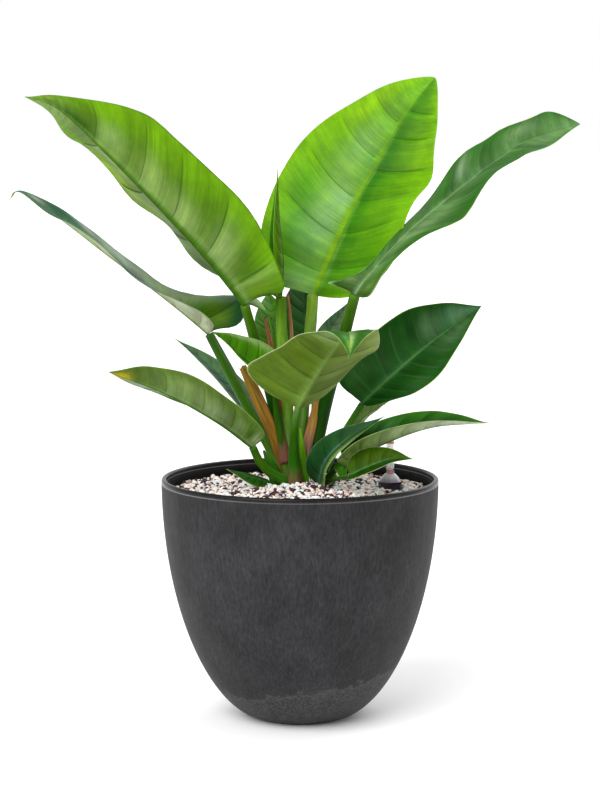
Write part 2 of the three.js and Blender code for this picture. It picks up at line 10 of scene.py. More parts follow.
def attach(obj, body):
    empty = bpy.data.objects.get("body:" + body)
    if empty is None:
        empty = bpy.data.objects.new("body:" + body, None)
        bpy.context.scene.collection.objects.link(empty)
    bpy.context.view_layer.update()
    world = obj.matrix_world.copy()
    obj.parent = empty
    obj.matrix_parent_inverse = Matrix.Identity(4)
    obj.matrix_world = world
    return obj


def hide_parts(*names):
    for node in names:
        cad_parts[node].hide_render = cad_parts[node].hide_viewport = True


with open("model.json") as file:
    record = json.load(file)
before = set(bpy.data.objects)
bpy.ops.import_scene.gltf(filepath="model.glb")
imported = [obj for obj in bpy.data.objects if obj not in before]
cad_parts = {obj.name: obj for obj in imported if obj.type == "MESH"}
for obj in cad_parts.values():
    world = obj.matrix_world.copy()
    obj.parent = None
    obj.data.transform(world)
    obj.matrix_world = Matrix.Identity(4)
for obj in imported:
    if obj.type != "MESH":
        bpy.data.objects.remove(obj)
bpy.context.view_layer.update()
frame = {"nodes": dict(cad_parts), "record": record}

CAD_SLOTS = {part["node"]: part["material_slot"] for part in frame["record"]["subparts"]}
MM = 0.001
PLANT_BODY = "planter"
rng = np.random.default_rng(7)

# The light on a surface that faces the lamps, and the share of white that gloss adds to it
LIGHT_LEVEL = 1.65
GLOSS_LEVEL = 0.003

# Leaves, as in the CAD model. rib: the midrib from base to tip. face: where the upper face looks.
# half, fold, curl, lobe, widest, point, wide and wave go left then right, seen on the upper face.
# upper and under name the colours of the two faces. veins: where the side veins leave the midrib,
# or how many there are. marks: soft patches on a face or on its left or right half, some in the
# leaf's own colour, such as its yellowed or browned tips, and some painted sheen, painted light or
# painted shade where the blade folds or turns. Each has its place along and across the blade, its
# reach both ways, its colour and its strength. All but the colour are in percent.
LEAVES = {
    "upper_left": dict(
        rib=[
            (-63, -2, 478), (-109, 6, 534), (-172, 20, 600), (-240, 40, 667), (-284, 60, 704),
            (-322, 80, 716),
        ],
        face=[(0.35, 0.75, 0.55), (0.35, 0.75, 0.55), (0.2, 0.8, 0.6)], half=(80, 76),
        fold=[(8, 12, 14), (66, 42, 30, 22, 20)], curl=[(18, 10, 20), (0, 0)], lobe=(0.12, 0.12),
        widest=(0.57, 0.6), point=(1.15, 1.1),
        wide=[(104, 94, 103, 103, 112, 130, 126, 98, 80), (100, 105, 112, 105, 95, 64, 100, 225, 180)],
        wave=[(0, 1, 0), (8, 3.2, -0.46)], stalk=[(-16, 20, 293), (-35, 20, 378), (-53, 12, 440)],
        radii=(7.5, 7, 6.5, 5.5), upper="bright", under="sunlit_under",
        veins=[(0.03, 0.1, 0.23, 0.38, 0.53, 0.72), (0.12, 0.3, 0.5, 0.7)], pleat=2, rib_width=1.6,
        colour_and_painted_light_marks={"under left": [
            (80, 12, 10, 22, "#346202", 100), (66, 32, 4.5, 24, "#8cac64", 85),
            (62, 80, 20, 30, "#6ea401", 70), (1, 80, 5, 40, "#305c04", 95), (5, 50, 3, 30, "#749c20", 80),
            (16, 50, 3.5, 20, "#557f04", 70), (30, 55, 4, 20, "#5a8803", 70),
            (90, 75, 8, 30, "#84a84c", 70), (8.5, 60, 1.2, 50, "#8cae58", 80),
            (20, 30, 4, 30, "#9cb870", 80), (36, 22, 6, 20, "#98b668", 80),
            (50, 25, 5, 25, "#94b460", 80),
        ], "under right": [
            (90, 50, 14, 60, "#8cb05c", 90), (76, 30, 5, 20, "#4c7c14", 80),
            (60, 30, 14, 20, "#a8c080", 80), (48, 75, 16, 30, "#b4d860", 90),
            (20, 60, 10, 60, "#6f9c14", 70),
        ]},
    ),
    "top": dict(
        rib=[(15, 44, 486), (51, 78, 565), (84, 100, 627), (127, 120, 697), (161, 132, 739)],
        face=[(-0.1, -0.88, 0.4), (-0.1, -0.85, 0.4), (-0.2, -0.85, 0.4)], half=(96, 93),
        fold=[(8, 4, 0), (24, 28, 32, 8, 0, -5)], curl=[(6, 0), (0, 0)], lobe=(0.08, 0.03),
        widest=(0.66, 0.62), point=(0.68, 0.78),
        wide=[(100, 97, 97, 100, 103, 105, 106, 108, 95), (100, 102, 104, 96, 88, 98, 95, 106, 105)],
        wave=[(4, 2, 0), (5, 3.5, 1.5)], stalk=[(0, 28, 292), (6, 28, 388), (12, 34, 447)],
        radii=(7, 7, 7, 6.5), upper="vivid",
        veins=[(0.13, 0.29, 0.45, 0.62, 0.78), (0.15, 0.3, 0.44, 0.58, 0.72, 0.84)], pleat=1.6,
        rib_width=1.05,
        colour_and_painted_light_marks={"upper left": [
            (48, 30, 30, 26, "#88bb58", 75), (22, 50, 9, 28, "#6cb058", 70),
            (20, 30, 2.2, 8, "#2c8414", 80), (4, 50, 7, 60, "#98d07c", 80),
            (34, 64, 7, 20, "#469a10", 70), (75, 76, 14, 22, "#94ca02", 70),
            (12, 75, 5, 25, "#4ea008", 70), (60, 10, 4, 8, "#52a440", 60),
            (30, 25, 10, 20, "#90c47c", 80), (62, 30, 8, 20, "#8cc468", 70),
            (15, 62, 5, 14, "#58a814", 80), (42, 15, 4, 16, "#98c888", 70),
        ], "upper right": [
            (50, 45, 70, 50, "#549000", 75), (50, 12, 60, 20, "#347c00", 100),
            (90, 25, 10, 30, "#478c08", 70), (64, 75, 10, 20, "#84c001", 70),
            (16, 50, 6, 30, "#4a9408", 60), (40, 60, 3, 30, "#72ac0c", 50),
        ]},
    ),
    "upper_right": dict(
        rib=[
            (62, -33, 492), (76, -27, 511), (121, -2, 559), (175, 32, 602), (230, 60, 642),
            (263, 76, 663), (330, 98, 684),
        ],
        face=[(-0.6, -0.3, 0.75), (-0.55, -0.35, 0.75), (-0.45, -0.6, 0.65)], half=(54, 54),
        fold=[(60, 20, 0, 15, 27, 10), (-38, 0, -12, 12, 0, 5)], lobe=(0.08, 0.02), widest=(0.62, 0.6),
        point=(0.9, 1),
        wide=[(150, 32, 28, 50, 76, 108, 110, 190, 560), (70, 40, 70, 95, 93, 103, 120, 165, 140)],
        stalk=[(12, 26, 278), (30, 20, 364), (48, -12, 436)], radii=(8, 8, 7.5, 6), upper="dusky",
        under="grey_under", veins=[(0.2, 0.36, 0.5, 0.63, 0.78), (0.15, 0.3, 0.45, 0.6, 0.75)], pleat=1.4,
        colour_and_painted_light_marks={"upper left": [
            (48, 35, 5, 25, "#2c6020", 85), (55, 60, 2.5, 30, "#98b48c", 80),
            (80, 60, 6, 30, "#84a874", 70), (30, 50, 6, 40, "#4f7c38", 60),
            (68, 40, 4, 30, "#3c6c30", 70), (0, 60, 10, 120, "#32560e", 100),
            (7, 55, 1.2, 30, "#80a060", 90), (5, 100, 6, 12, "#d0dcbc", 90),
        ], "upper right": [
            (30, 30, 14, 25, "#80a46c", 75), (36, 85, 8, 20, "#34681c", 70),
            (72, 50, 6, 40, "#35681f", 70), (88, 50, 10, 50, "#6f9c58", 70),
            (0, 60, 10, 120, "#3c6414", 100), (6, 60, 2, 20, "#6c9440", 80),
            (5, 100, 6, 6, "#b4c890", 90),
        ], "under left": [
            (4, 50, 5, 70, "#ccd8b8", 80),
        ], "under right": [
            (5, 50, 6, 70, "#54781c", 90),
        ]},
    ),
    "far_left": dict(
        rib=[
            (-106, 45, 441), (-152, 48, 479), (-221, 50, 531), (-279, 52, 575), (-325, 58, 605),
            (-339, 60, 596),
        ],
        face=[(0.45, -0.1, 0.9), (0.5, 0, 0.85), (0.5, 0.1, 0.8)], half=(52, 48),
        fold=[(45, 35, 17, 6, 4, 9, 10, 5, -12, -12, 0), (60, 56, 20, 5, 8, 10, 17, 24, 38, 40, 30)],
        lobe=(0.04, 0.15), widest=(0.55, 0.5),
        wide=[(75, 80, 95, 100, 100, 100, 100, 110, 130), (70, 150, 112, 96, 98, 100, 105, 115, 150)],
        stalk=[(-19, 26, 271), (-30, 32, 300), (-58, 38, 352), (-82, 42, 396)],
        radii=(6.5, 7, 7, 6.5, 5.5), upper="bluish", under="grey_under",
        veins=[(0.08, 0.2, 0.36, 0.55, 0.75), (0.08, 0.2, 0.36, 0.55, 0.75)], pleat=1,
        colour_and_painted_light_marks={"under left": [
            (10, 50, 20, 90, "#f4f8e0", 100), (12, 40, 10, 50, "#b4c49c", 90),
            (4, 80, 3, 25, "#6c8c44", 80), (20, 60, 2, 40, "#7c9c58", 70),
            (50, 60, 15, 50, "#bcc8a0", 70), (6, 70, 6, 30, "#c4d0ac", 90),
            (13, 30, 3, 20, "#a8bc8c", 80),
        ], "upper right": [
            (16, 30, 20, 50, "#a0c04c", 100), (10, 30, 14, 40, "#406c04", 95),
            (9, 85, 12, 14, "#46805a", 70), (45, 60, 10, 50, "#c0d4bc", 70),
            (75, 50, 6, 50, "#2c5c40", 80), (60, 70, 4, 30, "#c0ccb8", 80),
            (86, 40, 4, 50, "#c4ccb8", 70), (10, 30, 16, 60, "#44700c", 100),
            (5, 45, 3, 30, "#6c9438", 80), (10, 90, 12, 16, "#2c6438", 90),
        ]},
    ),
    "back": dict(
        rib=[(6, 60, 406), (6, 82, 442), (5, 110, 476), (2, 150, 516)],
        face=[(0.1, -0.75, 0.6), (0.1, -0.75, 0.6)], half=(34, 12), fold=[(20, 20), (20, 20)],
        stalk=[(-2, 36, 286), (-1, 40, 328), (1, 48, 369)], upper="deep", pleat=0.6,
        colour_and_painted_light_marks={"upper": [(50, 50, 100, 100, "#3a6c30", 80)]},
    ),
    "inner_left": dict(
        rib=[(-29, -1, 382), (-50, -6, 406), (-69, -12, 423), (-84, -20, 438), (-101, -32, 451)],
        face=[(0.5, -0.3, 0.8), (0.5, -0.4, 0.8)], half=(22, 31), fold=[(10, 10), (55, 40)],
        lobe=(0.1, 0.1), stalk=[(-14, 20, 279), (-22, 16, 320), (-27, 10, 350)], pleat=0.25,
        colour_and_painted_light_marks={"upper": [
            (50, 50, 100, 100, "#5a9c04", 80),
        ], "upper left": [
            (40, 40, 20, 40, "#368006", 60),
        ], "upper right": [
            (50, 90, 50, 15, "#a9c884", 80),
        ]},
    ),
    "front": dict(
        rib=[
            (-3, -40, 364), (20, -57, 406), (41, -83, 440), (51, -107, 455), (54, -133, 450),
            (54, -147, 430),
        ],
        face=[(-0.1, 0.95, 0.3), (0, 0.5, 0.9), (0, -0.9, 0.3)], half=(72, 66),
        fold=[(42, 36, 12, 0, 0), (10, 5, 15)], curl=[(10, 10), (0, 0)], lobe=(0.02, 0.05),
        wide=[(50, 80, 98, 105, 102, 100, 104, 112, 104), (95, 123, 100, 87, 92, 100, 100, 100, 100)],
        stalk=[(-6, 5, 270), (-7, -14, 318), (-6, -28, 343)], radii=(9, 6.5, 5, 3.5), upper="jade",
        under="olive_under", veins=[(0.14, 0.28, 0.45, 0.62), (0.12, 0.26, 0.42, 0.6)], pleat=1.2,
        colour_and_painted_light_marks={"under left": [
            (35, 40, 30, 50, "#7c9840", 90), (45, 85, 35, 40, "#c4dc90", 90),
            (16, 60, 6, 30, "#486c08", 90), (28, 75, 14, 50, "#a8c068", 80),
            (20, 30, 2, 20, "#5c8018", 70), (60, 60, 24, 40, "#789440", 90),
        ], "under right": [
            (75, 50, 16, 60, "#c8e8a4", 90), (35, 40, 3, 35, "#587814", 80),
            (50, 45, 3, 30, "#567814", 70), (20, 40, 10, 30, "#6f9038", 70),
        ], "upper left": [
            (86, 10, 9, 25, "#b4dc8c", 80),
        ], "upper right": [
            (86, 30, 9, 30, "#5c9848", 80), (93, 10, 5, 20, "#94b420", 80),
        ]},
    ),
    "right": dict(
        rib=[(72, 15, 362), (107, 22, 394), (151, 35, 430), (212, 50, 473)],
        face=[(-0.35, -0.85, 0.4), (-0.35, -0.85, 0.4)], half=(62, 49), fold=[(15, 10), (15, 10)],
        lobe=(0.08, -0.06), widest=(0.62, 0.6), point=(1, 1.1),
        wide=[(100, 95, 88, 87, 93, 106, 118, 137, 130), (70, 75, 86, 95, 98, 100, 100, 100, 100)],
        stalk=[(29, 20, 284), (46, 18, 319), (60, 16, 343)], radii=(5, 5, 4.5, 4.5), upper="deep",
        veins=[(0.13, 0.27, 0.39, 0.56, 0.66, 0.83), (0.09, 0.19, 0.33, 0.43, 0.59, 0.7, 0.86)],
        pleat=0.8, rib_width=1.2,
        colour_and_painted_light_marks={"upper right": [
            (76, 45, 18, 40, "#567a50", 90), (30, 75, 10, 20, "#3c6a34", 60),
            (42, 30, 14, 25, "#1a4806", 80), (12, 45, 6, 30, "#1c4a08", 70),
        ], "upper left": [
            (64, 40, 6, 35, "#5c8058", 85), (53, 50, 3.5, 30, "#143c08", 95),
            (86, 40, 12, 40, "#64906c", 80), (30, 60, 10, 40, "#1c4006", 80),
            (10, 50, 8, 40, "#38642c", 70),
        ]},
    ),
    "lower_left": dict(
        rib=[(-54, -25, 317), (-93, -40, 348), (-151, -60, 383), (-214, -75, 409)],
        face=[(0.3, 0.7, 0.65), (0.3, 0.7, 0.65)], half=(46, 46), fold=[(10, 10), (45, 20)],
        lobe=(0.04, 0.04), point=(1, 1.1),
        wide=[(85, 80, 81, 88, 107, 130, 155, 195, 180), (100, 100, 100, 100, 100, 100, 115, 170, 150)],
        stalk=[(-14, 8, 272), (-32, -4, 283), (-46, -16, 299)], radii=(8, 6, 5, 4.5), under="soft_under",
        veins=[(0.05, 0.12, 0.22, 0.42, 0.66), (0.1, 0.3, 0.5, 0.7)], pleat=1.9,
        colour_and_painted_light_marks={"under left": [
            (4.5, 50, 2.5, 35, "#b4cc98", 100), (10, 40, 1.4, 28, "#44660c", 100),
            (16.5, 40, 2, 30, "#8aa86c", 80), (23, 40, 1.2, 24, "#44660c", 90),
            (34, 28, 10, 28, "#94ac7c", 85), (86, 50, 14, 60, "#546c1c", 85),
            (50, 90, 25, 20, "#587c1c", 70), (50, 45, 20, 40, "#94ac6c", 60),
            (93, 10, 5.5, 45, "#c8b400", 100),
        ], "under right": [
            (72, 50, 16, 80, "#b3c8ac", 95), (95, 60, 7, 120, "#b3a802", 100),
        ], "upper right": [
            (95, 60, 7, 120, "#b3a802", 100),
        ]},
    ),
    "lower_right": dict(
        rib=[(53, -30, 296), (85, -40, 319), (147, -55, 344), (213, -70, 351)],
        face=[(-0.3, -0.35, 0.9), (-0.3, -0.35, 0.9)], half=(33, 38), fold=[(35, 25), (50, 45, 42)],
        lobe=(0.05, 0.05),
        wide=[(100, 100, 93, 91, 95, 103, 116, 145, 150), (100, 100, 104, 107, 112, 118, 135, 170, 150)],
        stalk=[(28, 14, 271), (36, 0, 282), (44, -16, 292)], upper="jade", under="soft_under",
        veins=[(0.1, 0.25, 0.4, 0.55, 0.7), (0.08, 0.18, 0.3, 0.45, 0.6)], pleat=1.1,
        colour_and_painted_light_marks={"under right": [
            (15, 50, 40, 90, "#8cb054", 90), (80, 50, 35, 90, "#e0e8d4", 90),
            (10, 50, 10, 60, "#98bc5c", 90), (14, 50, 2, 40, "#54741c", 80),
            (50, 50, 20, 60, "#b8d094", 70),
        ], "under left": [
            (10, 50, 15, 90, "#9cbc64", 90),
        ], "upper left": [
            (50, 25, 50, 40, "#1c4c0a", 80), (99, 30, 2.5, 100, "#97543c", 90),
            (30, 65, 8, 25, "#4b8650", 60),
        ], "upper right": [
            (99, 30, 2.5, 100, "#97543c", 90),
        ]},
    ),
    "low_front": dict(
        rib=[(21, 6, 270), (30, -18, 301), (55, -36, 329), (96, -42, 355)],
        face=[(-0.2, -0.9, 0.35), (-0.3, -0.7, 0.6)], half=(22, 22), fold=[(10, 15), (40, 40, 20)],
        upper="bluish", veins=[(0.15, 0.35, 0.55), (0.15, 0.35, 0.55)], pleat=0.8,
        colour_and_painted_light_marks={"upper": [
            (50, 50, 100, 100, "#2c5418", 70),
        ], "upper left": [
            (35, 30, 20, 40, "#1a5226", 60),
        ], "upper right": [
            (30, 95, 35, 35, "#a4c870", 100), (25, 30, 15, 30, "#2f6e44", 50),
        ]},
    ),
    "low_right": dict(
        rib=[(56, -65, 290), (79, -72, 302), (103, -78, 311), (127, -84, 312)],
        face=[(-0.2, -0.6, 0.75), (-0.2, -0.6, 0.75)], half=(26, 20), fold=[(10, 10), (30, 20)],
        lobe=(0.05, 0.05), stalk=[(25, 6, 270), (37, -18, 278), (48, -42, 285)], radii=(4, 3, 2.5, 2.5),
        upper="jade", veins=[(0.15, 0.35, 0.55), (0.15, 0.35, 0.55)], pleat=0.8,
        colour_and_painted_light_marks={"upper right": [
            (50, 50, 80, 100, "#244808", 95), (40, 50, 40, 60, "#284c08", 90),
            (60, 30, 12, 30, "#34683c", 70),
        ], "upper left": [
            (45, 50, 80, 100, "#3a580a", 95), (50, 50, 50, 60, "#44620a", 90),
        ]},
    ),
    "back_right_low": dict(
        rib=[(53, 60, 314), (74, 80, 337), (96, 100, 349), (111, 115, 356)],
        face=[(0.3, 0.8, 0.5), (0.3, 0.8, 0.5)], half=(22, 22), fold=[(20, 20), (20, 20)],
        lobe=(0.05, 0.05), wide=[(100, 100, 100, 100, 100), (40, 40, 60, 100, 100)],
        stalk=[(19, 30, 282), (30, 38, 293), (42, 48, 304)], radii=(4, 3, 3, 2.5), under="soft_under",
        veins=7, pleat=0.4, colour_and_painted_light_marks={"under left": [(20, 50, 10, 50, "#d69a1c", 80)]},
    ),
    "back_left": dict(
        rib=[(-28, 70, 419), (-30, 95, 441), (-34, 120, 463), (-39, 150, 485)],
        face=[(0.2, -0.7, 0.7), (0.2, -0.7, 0.7)], half=(28, 24), fold=[(20, 20), (20, 20)],
        lobe=(0.05, 0.05), stalk=[(-12, 34, 289), (-19, 40, 328), (-26, 52, 374)], pleat=0.5,
        colour_and_painted_light_marks={"upper": [(50, 50, 100, 100, "#5c9c14", 90)]},
    ),
    "back_right": dict(
        rib=[(20, 88, 412), (31, 94, 433), (44, 100, 454), (58, 106, 474)],
        face=[(0.2, -0.7, 0.7), (0.2, -0.7, 0.7)], half=(13, 15), fold=[(20, 20), (20, 20)],
        lobe=(0.05, 0.05), stalk=[(9, 34, 287), (15, 46, 328), (18, 68, 372)], upper="bluish", veins=7,
        pleat=0.4,
        colour_and_painted_light_marks={"upper left": [
            (50, 50, 100, 100, "#86b088", 90),
        ], "upper right": [
            (50, 50, 100, 100, "#b4ccaa", 90),
        ]},
    ),
    "back_left_low": dict(
        rib=[(-55, 80, 342), (-89, 95, 381), (-120, 110, 407), (-151, 120, 429)],
        face=[(0.35, -0.5, 0.75), (0.35, -0.5, 0.75)], half=(20, 22), fold=[(15, 15), (15, 15)],
        lobe=(0.05, 0.05), wide=[(90, 90, 90, 100, 100), (90, 85, 85, 100, 100)],
        stalk=[(-21, 32, 285), (-33, 44, 304), (-45, 60, 326)], upper="bluish", pleat=0.5,
        colour_and_painted_light_marks={"upper right": [
            (50, 95, 50, 16, "#b4c99c", 80), (50, 40, 90, 60, "#7ca474", 90),
        ], "upper left": [
            (50, 95, 50, 12, "#b4c99c", 60),
        ]},
    ),
    "upright": dict(
        rib=[(-22, 12, 486), (-20, 15, 526), (-24, 20, 574), (-26, 28, 632)],
        face=[(-0.97, 0, 0.2), (-0.97, -0.05, 0.2)], half=(20, 30), fold=[(50, 45), (20, 20)],
        lobe=(0.03, 0.03), widest=(0.48, 0.55), stalk=[(-14, 24, 293), (-17, 24, 389), (-21, 20, 447)],
        radii=(6.5, 7, 7, 6), under="sunlit_under", pleat=0.4,
    ),
    "soil_left": dict(
        rib=[(-34, 8, 271), (-52, 2, 277), (-69, -2, 283), (-85, -6, 289)],
        face=[(0.1, -0.5, 0.85), (0.1, -0.5, 0.85)], half=(15, 6), fold=[(0, 0), (0, 0)], upper="jade",
        veins=6, pleat=0.3,
    ),
    "soil_right": dict(
        rib=[(42, -24, 298), (47, -30, 293), (49, -32, 286), (54, -32, 278)],
        face=[(0.1, -0.9, 0.1), (0.1, -0.9, 0.1)], half=(7, 7), fold=[(10, 10), (10, 10)], veins=5,
        pleat=0.2,
    ),
}

# What a leaf has where its entry doesn't say
LEAF_DEFAULTS = dict(
    curl=[(0, 0), (0, 0)], lobe=(0, 0), widest=(0.55, 0.55), point=(1.25, 1.25),
    wide=[(100, 100), (100, 100)], wave=[(0, 1, 0), (0, 1, 0)], radii=(5, 4, 3.5, 3),
    upper="fresh", under="pale_under", veins=8, rib_width=1, colour_and_painted_light_marks={},
)

# Colours of a blade's face, as they look in the studio light: from base to tip, then its margin zone,
# the thin edge, the midrib at base and tip, and the side veins with how strongly they show. near is
# the sheen beside the midrib: its colour, its strength and how far out it reaches.
FACES = {
    "bright": dict(
        body=["#5b9a0c", "#5f9e0c", "#5a9812"], rim="#78b40a", edge="#8cbc20",
        rib=["#93bc40", "#74a82a"], vein="#3f7c0c", show=0.4, near=("#80ac50", 0.4, 0.3),
    ),
    "vivid": dict(
        body=["#62a810", "#64a808", "#6cb004"], rim="#80c404", edge="#84c004",
        rib=["#88bc1c", "#5c9c14"], vein="#3c8c0c", show=0.35, near=("#80b850", 0.3, 0.3),
    ),
    "fresh": dict(
        body=["#3d8809", "#428e0a", "#489208"], rim="#4c980c", edge="#a9c874",
        rib=["#74ac3c", "#5c9c28"], vein="#2f7206", show=0.4, near=("#6aa24a", 0.35, 0.3),
    ),
    "jade": dict(
        body=["#2e6616", "#306816", "#356f1c"], rim="#38761e", edge="#c4d8a0",
        rib=["#5c9450", "#4b864a"], vein="#1f5514", show=0.4, near=("#5a8a4c", 0.4, 0.35),
    ),
    "deep": dict(
        body=["#1c5412", "#1e5415", "#245c20"], rim="#225a1c", edge="#7fae30",
        rib=["#4f8444", "#4a7c42"], vein="#4d8044", show=0.3, near=("#33683a", 0.35, 0.4),
    ),
    "dusky": dict(
        body=["#588440", "#3c6e2c", "#5c8c48"], rim="#38742c", edge="#86a83c",
        rib=["#8cac74", "#6ea05c"], vein="#6f9c66", show=0.45, near=("#76a070", 0.45, 0.35),
    ),
    "bluish": dict(
        body=["#235c36", "#2a6440", "#356e4c"], rim="#2c6844", edge="#93b890",
        rib=["#6d9c7c", "#5a8f6c"], vein="#1d5030", show=0.35, near=("#6f9a80", 0.45, 0.35),
    ),
    "sunlit_under": dict(
        body=["#4e7c06", "#588402", "#547e04"], rim="#70aa04", edge="#568c0c",
        rib=["#3c6a08", "#4c7c14"], vein="#386206", show=0.9, near=("#86a75c", 0.85, 0.36),
    ),
    "pale_under": dict(
        body=["#7c9e54", "#82a45a", "#86a862"], rim="#88ac5c", edge="#bcd094",
        rib=["#98b870", "#90b06c"], vein="#668a40", show=0.5, near=("#a2b988", 0.4, 0.4),
    ),
    "grey_under": dict(
        body=["#a0b078", "#a6b682", "#a0b080"], rim="#9cb37c", edge="#5f9030",
        rib=["#5f8c34", "#84a060"], vein="#6d8a4c", show=0.5, near=("#b6c4a0", 0.5, 0.4),
    ),
    "olive_under": dict(
        body=["#688528", "#6a8828", "#748e3e"], rim="#6c8c30", edge="#d2dca6",
        rib=["#7ca04a", "#80a458"], vein="#47680c", show=0.5, near=("#7a9c48", 0.5, 0.4),
    ),
    "soft_under": dict(
        body=["#658a30", "#668a34", "#648a30"], rim="#688c34", edge="#8cac5c",
        rib=["#3c6a0c", "#537c24"], vein="#44661c", show=0.7, near=("#8aa874", 0.6, 0.5),
    ),
}

# Stalk colours from base to tip, and those of stalks that have their own
STALK_COLOURS = ["#5c8430", "#3c6c14", "#38680f", "#2f5c0a"]
STALK_OWN_COLOURS = {
    "top": ["#5c8030", "#5a862c", "#5f8c34", "#6c9430", "#7ca02c"],
    "upright": ["#64883c", "#6a9830", "#78ac30", "#7cae34", "#57860f"],
    "upper_right": ["#3c6a1c", "#224c08", "#24520a", "#34600c", "#4a741c"],
    "front": ["#86604a", "#3a6c1c", "#34660f", "#3c6e18", "#5c8838"],
    "upper_left": ["#8c5c4c", "#284c08", "#2c5408", "#3a640c", "#4a7414"],
    "right": ["#44741f", "#3c740c", "#427c0f", "#2c5c08"],
    "lower_left": ["#3a6c1c", "#3c7210", "#46780f", "#386808"],
}
STALK_EDGE = "#86ac60"
STALK_SHADE = 0.78      # how much of the light reaches between the stalks

SHEATHS = {
    "sheath_left": dict(
        path=[
            (-14, 22, 274), (-22, 19, 300), (-32, 16, 330), (-43, 13, 356), (-55, 10, 383), (-66, 8, 406),
        ],
        radii=(4, 6, 7, 7, 6.5, 4), flat=0.4, colours=["#7a5420", "#9a7028", "#a87c34", "#9c7c30"],
    ),
    "sheath_middle": dict(
        path=[
            (-12, 24, 286), (-13, 24, 313), (-19, 22, 345), (-28, 20, 384), (-34, 18, 430), (-40, 16, 461),
        ],
        radii=(4, 5, 5, 4.5, 4, 1.5), flat=0.5, colours=["#4a3412", "#7c5420", "#8c6230", "#9a6c4c"],
    ),
    "sheath_right": dict(
        path=[(7, 16, 285), (8, 17, 310), (14, 18, 337), (20, 20, 368)],
        radii=(4, 5.5, 5.5, 3), flat=0.5, colours=["#8c6458", "#a87c64", "#b08444", "#a87c3c"],
    ),
    "sheath_strip": dict(
        path=[(-9, 26, 293), (-10, 24, 342), (-10, 24, 389), (-10, 24, 444), (-14, 24, 487)],
        radii=(3, 2.5, 2.5, 2.3, 1.5), flat=0.6, colours=["#8a5c30", "#a87444", "#bc8a5c", "#b07c50"],
    ),
    "sheath_low_left": dict(
        path=[(-24, 4, 266), (-29, 0, 281), (-35, -4, 295), (-41, -8, 309)],
        radii=(9, 8, 6, 1.5), flat=0.5, colours=["#24540c", "#2a600c", "#306a0c", "#4c8424"],
    ),
    "sheath_low_right": dict(
        path=[(7, 12, 266), (6, 12, 285), (3, 10, 309), (0, 8, 335)],
        radii=(4, 3.5, 3, 1), flat=0.6, colours=["#4c8c0c", "#5c9c10", "#66a614", "#78b424"],
    ),
    "spear": dict(
        path=[(-12, 22, 293), (-19, 24, 342), (-26, 24, 389), (-31, 22, 436), (-36, 22, 462)],
        radii=(3, 2.5, 2, 1.8, 0.6), flat=1, colours=["#3f7c0c", "#4c8c10", "#5c9c18", "#70b020"],
    ),
}

# Pot, granules and gauge, as in the CAD model
POT_HEIGHT = 279
POT_RADIUS = 160
FOOT_RADIUS = 50
POT_WALL = 6
POT_FLOOR = 8
POT_BULGE = 0.57
FILL_LEVEL = 261
HEAP_HEIGHT = 9
HEAP_SPREAD = 60
GAUGE_CENTRE = (105, 24)
TUBE_RADIUS = 4.7
TUBE_CLEAR_TO = 0.18    # the share of the tube's height where its clear foot ends


# Colours and materials
def linear(colour):
    """A web colour as linear red, green and blue."""
    parts = np.array([int(colour[i:i + 2], 16) / 255 for i in (1, 3, 5)])
    return np.where(parts <= 0.04045, parts / 12.92, ((parts + 0.055) / 1.055) ** 2.4)


def albedo(colour):
    """What a surface must be painted to look this colour in the studio light."""
    return (linear(colour) / LIGHT_LEVEL - GLOSS_LEVEL).clip(0.001, 1)


def rgba(colour):
    return (*albedo(colour), 1.0)


class Nodes:
    """Short calls that add nodes to a tree. Each input is a value or another node's output."""

    def __init__(self, tree):
        self.tree = tree

    def fill(self, socket, value):
        if isinstance(value, bpy.types.NodeSocket):
            self.tree.links.new(value, socket)
        else:
            socket.default_value = value

    def add(self, kind, inputs=None, **settings):
        node = self.tree.nodes.new(f"ShaderNode{kind}")
        for key, value in settings.items():
            setattr(node, key, value)
        for key, value in (inputs or {}).items():
            self.fill(node.inputs[key], value)
        return node

    def place(self, kind="Object"):
        return self.add("TexCoord").outputs[kind]

    def attribute(self, name, kind="Color"):
        return self.add("Attribute", attribute_name=name).outputs[kind]

    def part(self, vector, axis="Z"):
        return self.add("SeparateXYZ", {0: vector}).outputs[axis]

    def maths(self, operation, *values):
        return self.add("Math", dict(enumerate(values)), operation=operation).outputs[0]

    def product(self, first, *others):
        for value in others:
            first = self.maths("MULTIPLY", first, value)
        return first

    def stretch(self, vector, factors):
        return self.add("VectorMath", {0: vector, 1: factors}, operation="MULTIPLY").outputs[0]

    def scale(self, vector, factor):
        return self.add("VectorMath", {0: vector, "Scale": factor}, operation="SCALE").outputs[0]

    def noise(self, place, scale, detail=2.0, roughness=0.5):
        inputs = {"Vector": place, "Scale": scale, "Detail": detail, "Roughness": roughness}
        return self.add("TexNoise", inputs).outputs["Fac"]

    def ramp(self, value, low, high, start, end):
        """A value that goes from start to end as another goes from low to high."""
        inputs = {"Value": value, "From Min": low, "From Max": high, "To Min": start, "To Max": end}
        return self.add("MapRange", inputs).outputs["Result"]

    def band(self, value, low, rise, high, fall):
        """1 from the end of the rise to the start of the fall, and 0 outside them."""
        rising = self.ramp(value, low, low + rise, 0.0, 1.0)
        return self.product(rising, self.ramp(value, high, high + fall, 1.0, 0.0))

    def mix(self, factor, a, b):
        """Colour a mixed with colour b."""
        node = self.add("Mix", data_type="RGBA")
        for socket, value in (("Factor_Float", factor), ("A_Color", a), ("B_Color", b)):
            self.fill(next(s for s in node.inputs if s.identifier == socket), value)
        return next(s for s in node.outputs if s.identifier == "Result_Color")


class Finish(Nodes):
    """A Principled material."""

    def __init__(self, name, **sockets):
        self.material = bpy.data.materials.new(name)
        self.material.use_nodes = True
        super().__init__(self.material.node_tree)
        self.paint(**sockets)

    def paint(self, **sockets):
        shader = self.tree.nodes["Principled BSDF"]
        for key, value in sockets.items():
            self.fill(shader.inputs[key.replace("_", " ")], value)

    def relief(self, height, strength, distance):
        bump = self.add("Bump", {"Height": height, "Strength": strength, "Distance": distance})
        self.paint(Normal=bump.outputs[0])


